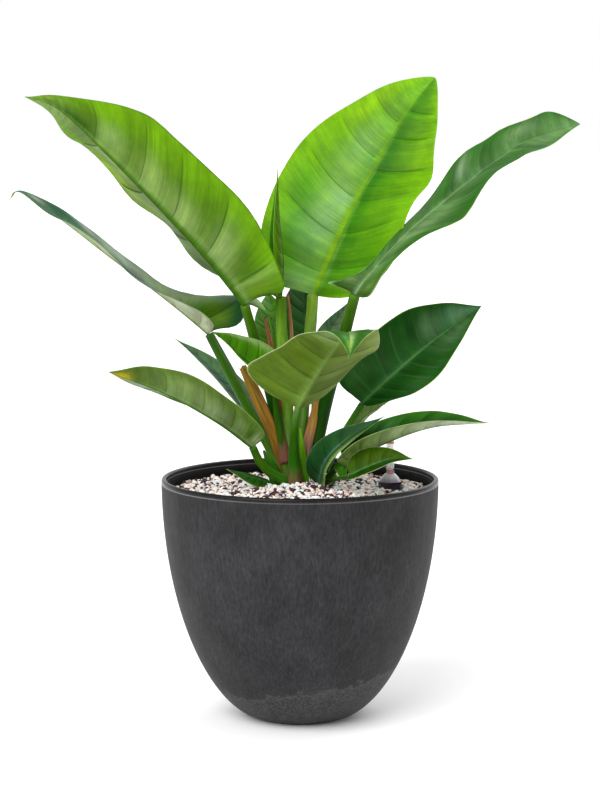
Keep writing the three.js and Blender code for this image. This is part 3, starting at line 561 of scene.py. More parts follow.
def leaf_material(name, roughness, warmth, bump):
    """Leaf skin: the face's own colours, streaked along its side veins, dappled and partly yellower."""
    streak = 0.14
    skin = Finish(name, Roughness=roughness, Specular_IOR_Level=0.06)
    tint = skin.attribute("tint")
    grain = skin.attribute("grain", "Vector")
    fine = skin.noise(grain, 1.0, 4.0, 0.6)
    broad = skin.noise(grain, 0.16)
    dapple = skin.noise(skin.place(), 75.0, 5.0, 0.6)
    tone = skin.product(
        skin.ramp(fine, 0.3, 0.7, 1 - streak, 1 + streak),
        skin.ramp(broad, 0.35, 0.65, 1 - streak, 1 + streak),
        skin.ramp(dapple, 0.35, 0.65, 0.93, 1.07),
    )
    yellow = skin.ramp(skin.product(fine, dapple), 0.22, 0.4, 0.0, warmth)
    warm = skin.stretch(tint, (1.3, 1.08, 0.5))
    skin.paint(Base_Color=skin.scale(skin.mix(yellow, tint, warm), tone))
    skin.relief(fine, bump, 0.0006)
    return skin.material


def stalk_material(name, roughness, streak, grain_scale):
    """Stalk skin: its own colours, streaked and mottled along its length."""
    skin = Finish(name, Roughness=roughness, Specular_IOR_Level=0.1)
    fine = skin.noise(skin.stretch(skin.attribute("grain", "Vector"), grain_scale), 1.0, 4.0)
    tone = skin.ramp(fine, 0.3, 0.7, 1 - streak, 1 + streak)
    skin.paint(Base_Color=skin.scale(skin.attribute("tint"), tone))
    skin.relief(fine, 0.35, 0.0006)
    return skin.material


def pot_material():
    """Charcoal composite: short upright streaks, smoky blotches, scuffed foot, smooth dark lip; painted
    shade inside and a painted highlight under the lip.
    """
    skin = Finish("pot_finish", Specular_IOR_Level=0.14)
    place = skin.place()
    sideways = skin.part(place, "X")
    height = skin.part(place)
    streaks = skin.noise(skin.stretch(place, (420, 420, 90)), 1.0, 7.0, 0.75)
    blotches = skin.noise(skin.stretch(place, (1, 1, 0.6)), 26.0, 7.0, 0.7)
    tone = skin.product(
        skin.ramp(streaks, 0.32, 0.68, 0.5, 1.6),
        skin.ramp(blotches, 0.38, 0.62, 0.78, 1.22),
        skin.ramp(height, 0.2, 0.27, 1.0, 0.85),
        skin.ramp(height, 0.274, 0.2765, 1.0, 0.3),
        # Painted shade on the inner wall
        skin.ramp(skin.attribute("inside", "Fac"), 0.0, 1.0, 1.0, 0.12),
    )
    base = skin.scale(albedo("#3a393b"), tone)

    # Pale scuffs below a wavy, sloping level, and a tide mark along it
    level = skin.maths("ADD", height, skin.product(skin.noise(place, 60.0, 8.0, 0.7), 0.05))
    level = skin.maths("SUBTRACT", level, skin.product(sideways, 0.14))
    crinkles = skin.noise(place, 330.0, 5.0, 0.7)
    foot = skin.product(skin.ramp(level, 0.07, 0.074, 1.0, 0.0), skin.ramp(crinkles, 0.42, 0.6, 0.05, 0.8))
    tide = skin.band(level, 0.063, 0.006, 0.071, 0.004)
    tide = skin.product(tide, skin.ramp(crinkles, 0.4, 0.55, 0.2, 0.9))
    scuffs = skin.product(skin.maths("MAXIMUM", foot, tide), 0.8)
    colour = skin.mix(scuffs, base, rgba("#646462"))

    # A painted highlight: a thin light line below the lip, stronger towards the sides
    line = skin.band(height, 0.2728, 0.0004, 0.2738, 0.0004)
    line = skin.product(line, skin.ramp(skin.maths("ABSOLUTE", sideways), 0.05, 0.16, 0.35, 0.9))
    skin.paint(Base_Color=skin.mix(line, colour, rgba("#9a9a9a")))
    skin.paint(Roughness=skin.ramp(height, 0.272, 0.275, 0.6, 0.25))
    skin.relief(streaks, 0.25, 0.0006)
    return skin.material


def mineral_material(name, colour, spread, brightness=1.0):
    """Porous mineral grain, each speckled."""
    skin = Finish(name, Roughness=0.9)
    specks = skin.noise(skin.place(), 420.0, 3.0)
    base = (albedo(colour) * brightness).clip(0, 0.95)
    skin.paint(Base_Color=skin.scale(base, skin.ramp(specks, 0.3, 0.7, 1 - spread, 1 + spread)))
    skin.relief(specks, 0.6, 0.0008)
    return skin.material


def plastic_material(name, colour, roughness):
    skin = Finish(name, Base_Color=rgba(colour), Roughness=roughness)
    skin.relief(skin.noise(skin.place(), 900.0), 0.08, 0.0002)
    return skin.material


def dome_material():
    """Smoky plastic, nearly black at its foot and grey-lilac above, with a painted highlight that pales it
    to near-white lilac at its neck.
    """
    skin = Finish("dome_plastic", Roughness=0.18)
    place = skin.place("Generated")
    level = skin.maths("ADD", skin.part(place), skin.product(skin.noise(place, 9.0), 0.2))
    dark = skin.mix(skin.ramp(level, 0.24, 0.34, 0.0, 1.0), rgba("#31262f"), rgba("#a9a1b4"))
    # Painted highlight: near white towards the neck
    skin.paint(Base_Color=skin.mix(skin.ramp(level, 0.45, 0.8, 0.0, 1.0), dark, rgba("#ece7f2")))
    skin.relief(skin.noise(place, 30.0), 0.1, 0.0003)
    return skin.material


def tube_material():
    """Clear plastic, clearest at its foot, where the float's tip shows through."""
    skin = Finish("tube_plastic", Roughness=0.2, Base_Color=(0.95, 0.94, 0.96, 1))
    place = skin.place("Generated")
    skin.paint(Alpha=skin.ramp(skin.part(place), TUBE_CLEAR_TO, TUBE_CLEAR_TO + 0.04, 0.15, 0.42))
    skin.relief(skin.noise(place, 30.0), 0.08, 0.0002)
    return skin.material


# Curves and meshes
def unit(vectors):
    return vectors / np.linalg.norm(vectors, axis=-1, keepdims=True).clip(1e-9)


def smoothstep(low, high, x):
    t = ((x - low) / (high - low)).clip(0, 1)
    return t * t * (3 - 2 * t)


def spread(values, t):
    """The value at t, 0 to 1, of a smooth curve through a list whose entries lie at equal steps."""
    values = np.array(values, float)
    place = np.asarray(t, float).clip(0, 1) * (len(values) - 1)
    i = place.astype(int).clip(0, len(values) - 2)
    a, b, c, d = (values[(i + k).clip(0, len(values) - 1)] for k in (-1, 0, 1, 2))
    f = (place - i).reshape(place.shape + (1,) * (values.ndim - 1))
    return b + f / 2 * (c - a + f * (2 * a - 5 * b + 4 * c - d + f * (3 * (b - c) + d - a)))


def smooth_curve(points, count):
    """Evenly spaced points on a smooth curve through the given ones, and the curve's length."""
    p = np.array(points, float)
    p = np.vstack([2 * p[0] - p[1], p, 2 * p[-1] - p[-2]])
    s = np.linspace(0, 1, 40, endpoint=False)[:, None]
    pieces = []
    for a, b, c, d in zip(p, p[1:], p[2:], p[3:]):
        bend = (2 * a - 5 * b + 4 * c - d) * s**2 + (3 * b - a - 3 * c + d) * s**3
        pieces.append((2 * b + (c - a) * s + bend) / 2)
    fine = np.vstack([*pieces, p[-2:-1]])
    walked = np.concatenate([[0], np.cumsum(np.linalg.norm(np.diff(fine, axis=0), axis=1))])
    even = np.linspace(0, walked[-1], count)
    return np.stack([np.interp(even, walked, fine[:, k]) for k in range(3)], 1), walked[-1]


def build_mesh(name, points, faces, materials, slots=None, smooth=True, **attributes):
    """A mesh object from points in millimetres, with colours and grain coordinates on its points."""
    mesh = bpy.data.meshes.new(name)
    mesh.from_pydata((points.reshape(-1, 3) * MM).tolist(), [], faces)
    for material in materials:
        mesh.materials.append(material)
    if slots is not None:
        mesh.polygons.foreach_set("material_index", np.asarray(slots, np.int32))
    mesh.polygons.foreach_set("use_smooth", np.full(len(mesh.polygons), smooth))
    for key, values in attributes.items():
        if key == "tint":
            layer = mesh.color_attributes.new(key, "FLOAT_COLOR", "POINT")
            opaque = np.ones((*values.shape[:-1], 1))
            layer.data.foreach_set("color", np.append(values, opaque, -1).ravel())
        else:
            mesh.attributes.new(key, "FLOAT_VECTOR", "POINT").data.foreach_set("vector", values.ravel())
    mesh.validate()
    piece = bpy.data.objects.new(name, mesh)
    bpy.context.scene.collection.objects.link(piece)
    return piece


def join_plant(piece, node):
    """Lets a piece ride with the plant in place of a CAD node."""
    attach(piece, PLANT_BODY)
    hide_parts(node)


def grid_quads(rows, columns, closed=False):
    """Faces of a grid of points laid out row by row; closed joins the last column to the first."""
    i = np.arange(rows - 1)[:, None] * columns
    j = np.arange(columns if closed else columns - 1)[None, :]
    k = (j + 1) % columns
    return np.stack([i + j, i + k, i + columns + k, i + columns + j], -1).reshape(-1, 4)


# Blades
COLUMN_STEPS = np.array([
    0, 0.008, 0.02, 0.035, 0.055, 0.085, 0.125, 0.18, 0.245, 0.315, 0.39, 0.465, 0.54,
    0.615, 0.69, 0.76, 0.825, 0.88, 0.925, 0.957, 0.98, 0.993, 1,
])
BIG_HALF = 30           # half width from which a blade gets all its rows and columns
VEIN_SWEEP = 0.13
VEIN_WIDTH = 0.9
BLADE_THICKNESS = 0.9
EDGE_THICKNESS = 0.5


def vein_places(veins, side, seed):
    """Where the side veins leave the midrib, 0 at the base and 1 at the tip."""
    if not isinstance(veins, int):
        return np.array(veins[side], float)
    even = (np.arange(veins) + 0.6) / (veins + 0.6)
    return even**1.15 + np.random.default_rng(seed).uniform(-0.25, 0.25, veins) / veins * 0.6


def rows_for(veins, base_rows, length):
    """Row places, close together at the veins so that they stay crisp."""
    even = np.linspace(0, 1, base_rows)
    rows = 0.004 + 0.994 * (even - 0.09 * np.sin(2 * np.pi * even))
    beside = np.array([-4, -1.6, -0.6, 0, 0.6, 1.6, 4]) / length
    near = (veins[:, None] + beside[None, :]).ravel()
    near = near[(near > 0.02) & (near < 0.97)]
    far_enough = np.array([np.abs(near - r).min() > 2.2 / length for r in rows])
    far_enough[[0, -1]] = True
    return np.unique(np.round(np.concatenate([rows[far_enough], near]), 5))


class Blade:
    """A leaf's blade: its middle surface, and a grid of rows along it and columns across it."""

    def __init__(self, leaf, number):
        self.leaf = leaf
        self.number = number
        self.scale = min(sum(leaf["half"]), 150) / 150
        samples = 201
        self.points, self.length = smooth_curve(leaf["rib"], samples)
        self.tangent = unit(np.gradient(self.points, axis=0))
        up = unit(spread(unit(np.array(leaf["face"], float)), np.linspace(0, 1, samples)))
        self.up = unit(up - self.tangent * (up * self.tangent).sum(1, keepdims=True))
        self.across = np.cross(self.tangent, self.up)
        self.lay_out()

    def at(self, values, t):
        place = np.linspace(0, 1, len(values))
        return np.stack([np.interp(t, place, values[:, k]) for k in range(3)], -1)

    def outline(self, side, t):
        """Distance along the midrib and out from it of the margin at t, base to tip."""
        keys = ("half", "lobe", "widest", "point", "wide")
        half, lobe, widest, point, wide = (self.leaf[key][side] for key in keys)
        peak = 0.1
        back = lobe * self.length * (1 - t) * (t / peak) * np.exp(1 - t / peak)
        rounding = np.sin(np.pi * t**widest).clip(0) ** (0.7 + (point - 0.7) * t)
        return self.length * t - back, half * (spread(wide, t) / 100) * rounding

    def surface(self, side, t, s):
        """Points at t, base to tip, and s, midrib to margin. Side 0 is left and side 1 right."""
        half, fold, curl, wave = (self.leaf[key][side] for key in ("half", "fold", "curl", "wave"))
        forward, out = self.outline(side, t)
        root = self.length * t * (1.05 * t / (t + 0.05))
        u = root + (forward - root) * s**1.5
        fold = np.radians(spread(fold, t))
        curl = np.radians(spread(curl, t)) / half
        curl = np.where(np.abs(curl) < 1e-5, 1e-5, curl)
        reach = out * s
        height, count, phase = wave
        ruffle = height * (reach / half) ** 2 * np.sin(2 * np.pi * count * t + phase)
        sideways = (np.sin(fold + curl * reach) - np.sin(fold)) / curl
        lift = (np.cos(fold) - np.cos(fold + curl * reach)) / curl + ruffle
        place = (u / self.length).clip(0, 1)
        lines = (self.points, self.tangent, self.up, self.across)
        centre, along, up, across = (self.at(values, place) for values in lines)
        beyond = unit(along) * np.minimum(u, 0)[..., None]
        out_way = unit(across) * (1 if side else -1)
        return centre + beyond + out_way * sideways[..., None] + unit(up) * lift[..., None]

    def lay_out(self):
        """The grid, with rows closer at the side veins, and where its points lie among them."""
        leaf = self.leaf
        big = max(leaf["half"]) > BIG_HALF
        steps = COLUMN_STEPS if big else COLUMN_STEPS[::2]
        veins = [vein_places(leaf["veins"], side, 100 * self.number + side) for side in (0, 1)]
        base_rows = 46 if big else 30
        tau = rows_for(np.concatenate(veins), base_rows, self.length)
        columns = [(0, s) for s in steps[::-1]] + [(1, s) for s in steps[1:]]
        middle, distance, share, wide = [], [], [], []
        for side, s in columns:
            t = tau + VEIN_SWEEP * s**1.6 * 4 * tau * (1 - tau) * (1 - 0.45 * tau)
            middle.append(self.surface(side, t, np.full_like(t, s)))
            distance.append(np.abs(tau[:, None] - veins[side][None, :]).min(1) * self.length)
            edges = np.concatenate([[0], np.sort(veins[side]), [1]])
            k = np.searchsorted(edges, tau, side="right").clip(1, len(edges) - 1) - 1
            share.append((tau - edges[k]) / (edges[k + 1] - edges[k]))
            wide.append(self.outline(side, tau)[1])
        self.tau = tau[:, None]
        self.signed = np.array([[s if side else -s for side, s in columns]])
        self.middle, self.distance, self.share, self.wide = (
            np.stack(values, 1) for values in (middle, distance, share, wide)
        )
        out = np.abs(self.signed)
        self.vein = np.exp(-((self.distance / VEIN_WIDTH) ** 2))
        self.fade = smoothstep(0.01, 0.08, out) * (1 - smoothstep(0.72, 0.97, out))
        rib_width = leaf["rib_width"] * (0.015 + 0.045 * (1 - self.tau).clip(0, 1) ** 1.5)
        self.from_rib = out / rib_width

    def relief(self):
        """The height of the tilted, swollen panels between side veins and of the blade's gentle roll."""
        tau, share = self.tau, self.share
        own = np.random.default_rng(self.number)
        roll = np.zeros_like(self.vein)
        for _ in range(5):
            f = own.uniform(1, 4)
            g = own.uniform(-3, 3)
            amount = own.uniform(0.15, 0.4)
            roll += amount * np.sin(2 * np.pi * f * tau + g * self.signed + own.uniform(0, 6))
        panel = 0.8 * (0.5 - share) + 0.9 * (4 * share * (1 - share)) ** 0.7
        room = smoothstep(0, 34, self.wide) * (1 - smoothstep(0.8, 1, tau))
        rising = np.sin(np.pi * tau.clip(0, 1)) ** 0.5 * room
        rolled = roll * np.abs(self.signed) ** 0.5 * self.scale * 1.4
        return (self.leaf["pleat"] * panel * self.fade + rolled) * rising

    def skins(self):
        """The points of the upper and the under face. The midrib stands out below."""
        normal = unit(-np.cross(np.gradient(self.middle, axis=0), np.gradient(self.middle, axis=1)))
        rib = np.exp(-(self.from_rib**2))
        narrow = np.minimum(self.wide[:, :1], self.wide[:, -1:])
        rib_height = (2.9 - 2.5 * self.tau) * min(1, self.scale * 1.3) * smoothstep(0, 12, narrow)
        thinner = (BLADE_THICKNESS - EDGE_THICKNESS) * smoothstep(0.6, 1, np.abs(self.signed))
        thick = BLADE_THICKNESS - thinner
        relief = self.relief() * (1 - rib)
        vein = self.vein * self.fade
        top = thick / 2 + relief + rib * 0.35 * rib_height - 0.25 * vein
        bottom = thick / 2 - relief + rib * rib_height + 0.45 * vein
        return self.middle + normal * top[..., None], self.middle - normal * bottom[..., None]

    def layers(self, key):
        """Masks and colours that lie over the body colour of a face, lowest first."""
        leaf, tau, signed = self.leaf, self.tau, self.signed
        face = FACES[leaf[key]]
        sheen, strength, width = face["near"]
        wander = np.sin(0.11 * tau * self.length)
        ripple = 0.5 + 0.5 * np.sin(0.9 * self.distance + 2.5 * wander + 5 * signed)
        near_panel = 0.45 + 0.55 * smoothstep(0.1, 0.95, self.share)
        yield smoothstep(0.4, 1, np.abs(signed)), face["rim"]
        yield strength * np.exp(-((signed / width) ** 2)) * (0.6 + 0.4 * ripple) * near_panel, sheen
        # Marks over the whole face, then over its left and right halves: the leaf's own colour patches,
        # and painted sheen, painted light and painted shade
        for side, here in (("", True), (" left", signed <= 0), (" right", signed >= 0)):
            for along, across, reach, breadth, colour, amount in leaf["colour_and_painted_light_marks"].get(key + side, []):
                lengthwise = (100 * tau - along) / reach
                sideways = (100 * np.abs(signed) - across) / breadth
                inside = np.exp(-(lengthwise**2) - sideways**2)
                yield here * amount / 100 * inside * (0.85 + 0.15 * ripple), colour
        yield self.vein * self.fade * face["show"], face["vein"]
        beside_rib = np.exp(-(((self.from_rib - 1.7) / 0.6) ** 2))
        yield 0.5 * beside_rib * (1 - smoothstep(0.6, 1, tau)), sheen

    def tint(self, key):
        """The colours of a face. Each panel gets painted shade, darkest next to the vein on its base side,
        and the midrib is a plain band.
        """
        leaf = self.leaf
        face = FACES[leaf[key]]
        body = spread([albedo(c) for c in face["body"]], self.tau)
        tint = np.broadcast_to(body, (*self.vein.shape, 3)).copy()
        for mask, colour in self.layers(key):
            tint += (albedo(colour) - tint) * mask[..., None]
        # Painted shade across each panel, as if it tilted between its veins
        painted_panel_shade = 0.3 * (smoothstep(0, 0.9, self.share) - 0.5) * min(1, leaf["pleat"])
        tint *= (1 + painted_panel_shade * self.fade)[..., None]
        rib_colour = spread([albedo(c) for c in face["rib"]], self.tau)
        tint += (rib_colour - tint) * np.exp(-(self.from_rib**4))[..., None]
        edge = smoothstep(0.975, 0.995, np.abs(self.signed))[..., None]
        return tint + (albedo(face["edge"]) - tint) * edge


def rim_quads(rows, columns):
    """Faces that join the margins of two grids, the second's points after the first's."""
    points = np.arange(rows * columns).reshape(rows, columns)
    quads = []
    for line, turn in ((points[:, 0], 1), (points[:, -1], -1), (points[0], -1), (points[-1], 1)):
        a, b = line[:-1], line[1:]
        quads.append(np.stack([a, b, b + points.size, a + points.size], 1)[:, ::turn])
    return np.concatenate(quads)


def make_blade(name, leaf, number):
    blade = Blade(leaf, number)
    rows, columns = blade.vein.shape
    upper = grid_quads(rows, columns)
    rim = rim_quads(rows, columns)
    quads = np.concatenate([upper, (upper + rows * columns)[:, ::-1], rim])
    along = blade.tau * blade.length * 0.55
    grain = np.stack(np.broadcast_arrays(along, blade.signed * 2.2 + 9 * number, 0 * blade.vein), -1)
    piece = build_mesh(
        f"leaf_{name}",
        np.stack(blade.skins()),
        quads.tolist(),
        [LEAF_UPPER, LEAF_UNDER],
        np.repeat([0, 1, 0], [len(upper), len(upper), len(rim)]),
        tint=np.stack([blade.tint("upper"), blade.tint("under")]),
        grain=np.stack([grain, grain]),
    )
    sharpen_rim(piece.data, 2 * len(upper))
    join_plant(piece, f"blade_{name}")


def sharpen_rim(mesh, first_rim_face):
    """Keeps the thin edge of a blade from smoothing into its faces."""
    rim_edges = set()
    for polygon in mesh.polygons[first_rim_face:]:
        rim_edges.update(polygon.edge_keys)
    flags = [edge.key in rim_edges for edge in mesh.edges]
    mesh.attributes.new("sharp_edge", "BOOLEAN", "EDGE").data.foreach_set("value", flags)


# Stalks and sheaths
def from_groove(points, wide, deep, angle):
    """How far round each point lies from the groove, which faces the plant's middle."""
    lean = points[-1] - points[0]
    inner = np.array([-lean[0], -lean[1], 0.3 * lean[2]])
    groove = np.arctan2(deep @ inner, wide @ inner)[:, None]
    return np.angle(np.exp(1j * (angle - groove)))


def sweep(
    name, node, path, radii, colours, material, seed, sides, steps, flat=1, groove=0, ridges=0, ragged=0,
):
    """A swept piece, ridged along its length. Its groove has pale edges, and a ragged end is torn."""
    own = np.random.default_rng(seed)
    points, length = smooth_curve(path, steps)
    tangent = unit(np.gradient(points, axis=0))
    wide = unit(np.cross(tangent, (0, 1, 0)))
    deep = np.cross(tangent, wide)
    t = np.linspace(0, 1, steps)[:, None]
    angle = np.linspace(0, 2 * np.pi, sides, endpoint=False)[None, :]
    off = from_groove(points, wide, deep, angle)
    shape = 1 - groove * np.exp(-((off / 0.45) ** 2))
    for count in (5, 8, 13):
        shape = shape + ridges * np.cos(count * angle + own.uniform(0, 6) + 1.5 * t)
    reach = spread(radii, t) * shape
    ring = (
        points[:, None]
        + wide[:, None] * (reach * np.cos(angle))[..., None]
        + deep[:, None] * (reach * flat * np.sin(angle))[..., None]
    )
    if ragged:
        pull = smoothstep(0.8, 1, t) * own.uniform(-1, 1, sides) * ragged
        ring += tangent[:, None] * pull[..., None]

    tint = np.repeat(spread([albedo(c) / STALK_SHADE for c in colours], t), sides, 1)
    if groove:
        pale = 0.5 * np.exp(-(((np.abs(off) - 0.8) / 0.16) ** 2)) * smoothstep(0, 0.25, t)
        tint += (albedo(STALK_EDGE) - tint) * pale[..., None]
    grain = np.stack(np.broadcast_arrays(3 * np.cos(angle), 3 * np.sin(angle), t * length), -1)
    ends = np.arange(sides)
    faces = grid_quads(steps, sides, closed=True).tolist()
    faces += [ends[::-1].tolist(), (ends + (steps - 1) * sides).tolist()]
    join_plant(build_mesh(name, ring, faces, [material], tint=tint, grain=grain), node)


def make_stalk(name, leaf, number):
    sweep(
        f"petiole_{name}", f"stalk_{name}", [*leaf["stalk"], leaf["rib"][0]], leaf["radii"],
        STALK_OWN_COLOURS.get(name, STALK_COLOURS), STALK_SKIN,
        seed=number, sides=28, steps=56, groove=0.2, ridges=0.014,
    )


def make_sheath(name, sheath, number):
    skin = SHEATH_SKIN if CAD_SLOTS[name] == "sheath" else STALK_SKIN
    sweep(
        f"husk_{name}", name, sheath["path"], sheath["radii"], sheath["colours"], skin,
        seed=50 + number, sides=24, steps=44, flat=sheath["flat"], ridges=0.03, ragged=2.5,
    )


# Granules, each kind with its colour and its share of them all
GRANULE_KINDS = [
    ("granules_cream", "#fff0e8", 0.33),
    ("granules_beige", "#d8bab0", 0.15),
    ("granules_mauve", "#472c30", 0.28),
    ("granules_white", "#fffdfb", 0.14),
    ("granules_blue", "#e6f9ff", 0.1),
]
GRANULE_COUNT = 7000    # before those in the pot's wall or the gauge are left out
GRANULE_FIELD = 150.5   # radius of the round field that their centres lie in
WALL_FROM = 153.5       # radius at which the pot's wall starts
GAUGE_ROOM = 14         # radius round the gauge that stays free


def heap(r):
    return FILL_LEVEL + HEAP_HEIGHT * np.exp(-((r / HEAP_SPREAD) ** 2))


def pebble():
    """The points and faces of a unit sphere made of small triangles."""
    mesh = bmesh.new()
    bmesh.ops.create_icosphere(mesh, subdivisions=2, radius=1)
    points = np.array([v.co[:] for v in mesh.verts])
    faces = np.array([[v.index for v in f.verts] for f in mesh.faces])
    mesh.free()
    return points, faces


def lumpy(points):
    """A pebble's points with five random dents or bumps, stretched and turned."""
    knobs = unit(rng.normal(size=(5, 3)))
    bumps = 1 + 0.28 * (np.maximum(points @ knobs.T, 0) ** 2 @ rng.uniform(-1, 1, 5))
    stretch = rng.uniform(0.72, 1.2, 3)
    turn = Quaternion(unit(rng.normal(size=4))).to_matrix()
    return points * bumps[:, None] * stretch @ np.array(turn)


def make_granules():
    points, faces = pebble()
    radius = GRANULE_FIELD * np.sqrt(rng.uniform(0, 1, GRANULE_COUNT))
    turn = rng.uniform(0, 2 * np.pi, GRANULE_COUNT)
    centres = np.stack([radius * np.cos(turn), radius * np.sin(turn), heap(radius)], 1)
    size = rng.gamma(9, 0.25, GRANULE_COUNT).clip(1.2, 3.8)
    centres[:, 2] += rng.uniform(-1.6, 1.2, GRANULE_COUNT)
    from_gauge = np.hypot(*(centres[:, :2] - GAUGE_CENTRE).T)
    keep = (from_gauge > GAUGE_ROOM + size * 0.8) & (radius + size < WALL_FROM)
    centres, size = centres[keep], size[keep]
    kind = rng.choice(len(GRANULE_KINDS), len(size), p=[share for *_, share in GRANULE_KINDS])
    for k, (name, colour, _) in enumerate(GRANULE_KINDS):
        chosen = np.flatnonzero(kind == k)
        stones = np.stack([lumpy(points) * size[i] + centres[i] for i in chosen])
        offsets = (np.arange(len(chosen)) * len(points))[:, None, None]
        triangles = (faces[None] + offsets).reshape(-1, 3).tolist()
        skin = mineral_material(f"{name}_stone", colour, 0.25, 1.35)
        piece = build_mesh(name, stones, triangles, [skin], smooth=False)
        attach(piece, PLANT_BODY)


# Turned pieces
def turned(name, profile, material, sides, centre=(0, 0)):
    """A body of revolution from radii and heights that start and end on the axis, or a ring."""
    radii, heights = np.array(profile, float).T[..., None]
    angle = np.linspace(0, 2 * np.pi, sides, endpoint=False)
    across = centre[0] + radii * np.cos(angle)
    deep = centre[1] + radii * np.sin(angle)
    points = np.stack(np.broadcast_arrays(across, deep, heights), -1)
    piece = build_mesh(name, points, grid_quads(len(profile), sides, closed=True).tolist(), [material])
    mesh = bmesh.new()
    mesh.from_mesh(piece.data)
    bmesh.ops.remove_doubles(mesh, verts=mesh.verts, dist=1e-6)
    bmesh.ops.recalc_face_normals(mesh, faces=mesh.faces)
    mesh.to_mesh(piece.data)
    mesh.free()
    return piece


def pot_radius(z):
    rounding = (1 - (1 - np.minimum(z / POT_HEIGHT, 1)) ** 2) ** POT_BULGE
    return FOOT_RADIUS + (POT_RADIUS - FOOT_RADIUS) * rounding


def make_pot():
    """The pot's shell. Its points inside, below the lip, are marked for painted shade."""
    foot_edge = 0.4
    lip_room = 5
    floor_edge = 12
    lip_from = 273
    heights = foot_edge + (POT_HEIGHT - lip_room - foot_edge) * np.linspace(0, 1, 70) ** 1.8
    outside = np.stack([pot_radius(heights), heights], 1)
    slope = np.gradient(outside[:, 0], heights)
    inward = np.stack([-np.ones_like(slope), slope], 1) / np.hypot(1, slope)[:, None]
    inside = (outside + POT_WALL * inward)[heights > floor_edge][::-1]
    lip = POT_WALL / 2
    corners = np.radians(np.linspace(0, 180, 15))
    rim = np.stack([POT_RADIUS - lip + lip * np.cos(corners), POT_HEIGHT - lip + lip * np.sin(corners)], 1)
    foot = [(0, 0), (FOOT_RADIUS - 2, 0), (FOOT_RADIUS, 0.1)]
    floor = [(FOOT_RADIUS, POT_FLOOR), (0, POT_FLOOR)]
    piece = turned("pot_shell", [*foot, *outside, *rim, *inside, *floor], pot_material(), sides=192)
    x, y, z = np.array([v.co[:] for v in piece.data.vertices]).T / MM
    shaded_inside = (np.hypot(x, y) < pot_radius(z) - POT_WALL / 2) & (z > floor_edge) & (z < lip_from)
    layer = piece.data.attributes.new("inside", "FLOAT", "POINT")
    layer.data.foreach_set("value", shaded_inside.astype(np.float32))
    join_plant(piece, "pot")


def make_scale():
    """The two coloured bands round the gauge's tube."""
    material = plastic_material("scale_plastic", "#e0913c", 0.4)
    inner, outer = TUBE_RADIUS - 0.4, TUBE_RADIUS + 0.25
    for name, bottom in (("gauge_mark_low", 315), ("gauge_mark_high", 319)):
        top = bottom + 2
        band = [(inner, bottom), (outer, bottom), (outer, top), (inner, top), (inner, bottom)]
        piece = turned(name, band, material, sides=32, centre=GAUGE_CENTRE)
        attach(piece, PLANT_BODY)


# Everything on the plant and in the pot
LEAF_UPPER = leaf_material("leaf_upper_skin", 0.38, 0.5, 0.25)
LEAF_UNDER = leaf_material("leaf_under_skin", 0.5, 0.3, 0.35)
STALK_SKIN = stalk_material("stalk_skin", 0.42, 0.2, (0.6, 0.6, 0.05))
SHEATH_SKIN = stalk_material("sheath_skin", 0.75, 0.45, (0.9, 0.9, 0.03))

for number, (name, entry) in enumerate(LEAVES.items()):
    leaf = {**LEAF_DEFAULTS, **entry}
    make_blade(name, leaf, number)
    if "stalk" in leaf:
        make_stalk(name, leaf, number)
for number, (name, sheath) in enumerate(SHEATHS.items()):
    make_sheath(name, sheath, number)
make_granules()
make_pot()
make_scale()

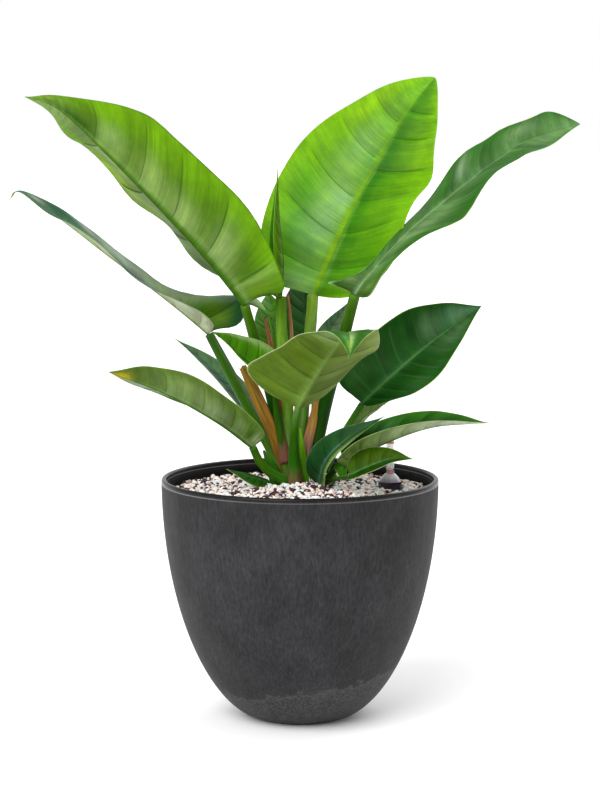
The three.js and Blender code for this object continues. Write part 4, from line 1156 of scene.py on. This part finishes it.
# CAD nodes that stay shown, each with its finish
crown_skin = mineral_material("crown_skin", "#7a6a40", 0.3)
float_plastic = plastic_material("float_plastic", "#ecebe6", 0.4)
CAD_FINISHES = {
    "root_ball": mineral_material("root_fibre", "#6b4f38", 0.4),
    # The heap under the loose granules is painted near black: painted shade in the gaps between them
    "granules": mineral_material("granule_bed_shade", "#2c2420", 0.4),
    "crown": crown_skin,
    "side_crown": crown_skin,
    "gauge_sleeve": plastic_material("sleeve_plastic", "#2b2233", 0.3),
    "gauge_dome": dome_material(),
    "gauge_tube": tube_material(),
    "gauge_float": float_plastic,
    "gauge_rod": float_plastic,
    "gauge_tip": plastic_material("tip_plastic", "#e01c08", 0.3),
}
for node, material in CAD_FINISHES.items():
    for slot in frame["nodes"][node].material_slots:
        slot.material = material

# Camera, at the photograph's viewing angle
CAMERA_DISTANCE = 2.6
CAMERA_HEIGHT = 0.6773
CAMERA_PITCH = 0.11825
FOCAL_PIXELS = 2274.8
IMAGE_HEIGHT = 800
SENSOR = 36

camera_data = bpy.data.cameras.new("camera")
camera_data.sensor_fit = "VERTICAL"
camera_data.sensor_height = SENSOR
camera_data.lens = FOCAL_PIXELS / IMAGE_HEIGHT * SENSOR
camera = bpy.data.objects.new("camera", camera_data)
camera.location = (0, -CAMERA_DISTANCE, CAMERA_HEIGHT)
camera.rotation_euler = (math.pi / 2 - CAMERA_PITCH, 0, 0)
bpy.context.scene.collection.objects.link(camera)
bpy.context.scene.camera = camera


# Floor and light
def sun_light(name, source, strength, softness):
    """A distant lamp in the direction of source, as wide as softness in degrees."""
    data = bpy.data.lights.new(name, "SUN")
    data.energy = strength
    data.angle = math.radians(softness)
    lamp = bpy.data.objects.new(name, data)
    lamp.rotation_euler = Vector(source).to_track_quat("Z", "Y").to_euler()
    bpy.context.scene.collection.objects.link(lamp)


FLOOR_REACH = 60000
floor_corners = FLOOR_REACH * np.array([(-1, -1, 0), (1, -1, 0), (1, 1, 0), (-1, 1, 0)])
floor_paint = Finish("floor_paint", Base_Color=(0.93, 0.93, 0.93, 1), Roughness=0.95)
build_mesh("floor", floor_corners, [(0, 1, 2, 3)], [floor_paint.material], smooth=False)

sun_light("key", (-0.5, -0.7, 0.75), 2.5, 50)
sun_light("back", (0.5, 0.7, 0.8), 0.9, 50)

world = bpy.data.worlds.new("studio")
world.use_nodes = True
sky = Nodes(world.node_tree)
background = world.node_tree.nodes["Background"]
background.inputs["Color"].default_value = (1, 1, 1, 1)
sky.fill(background.inputs["Strength"], sky.ramp(sky.part(sky.place("Generated")), 0.15, 0.5, 1.0, 0.9))
bpy.context.scene.world = world
bpy.context.scene.view_settings.view_transform = "Standard"
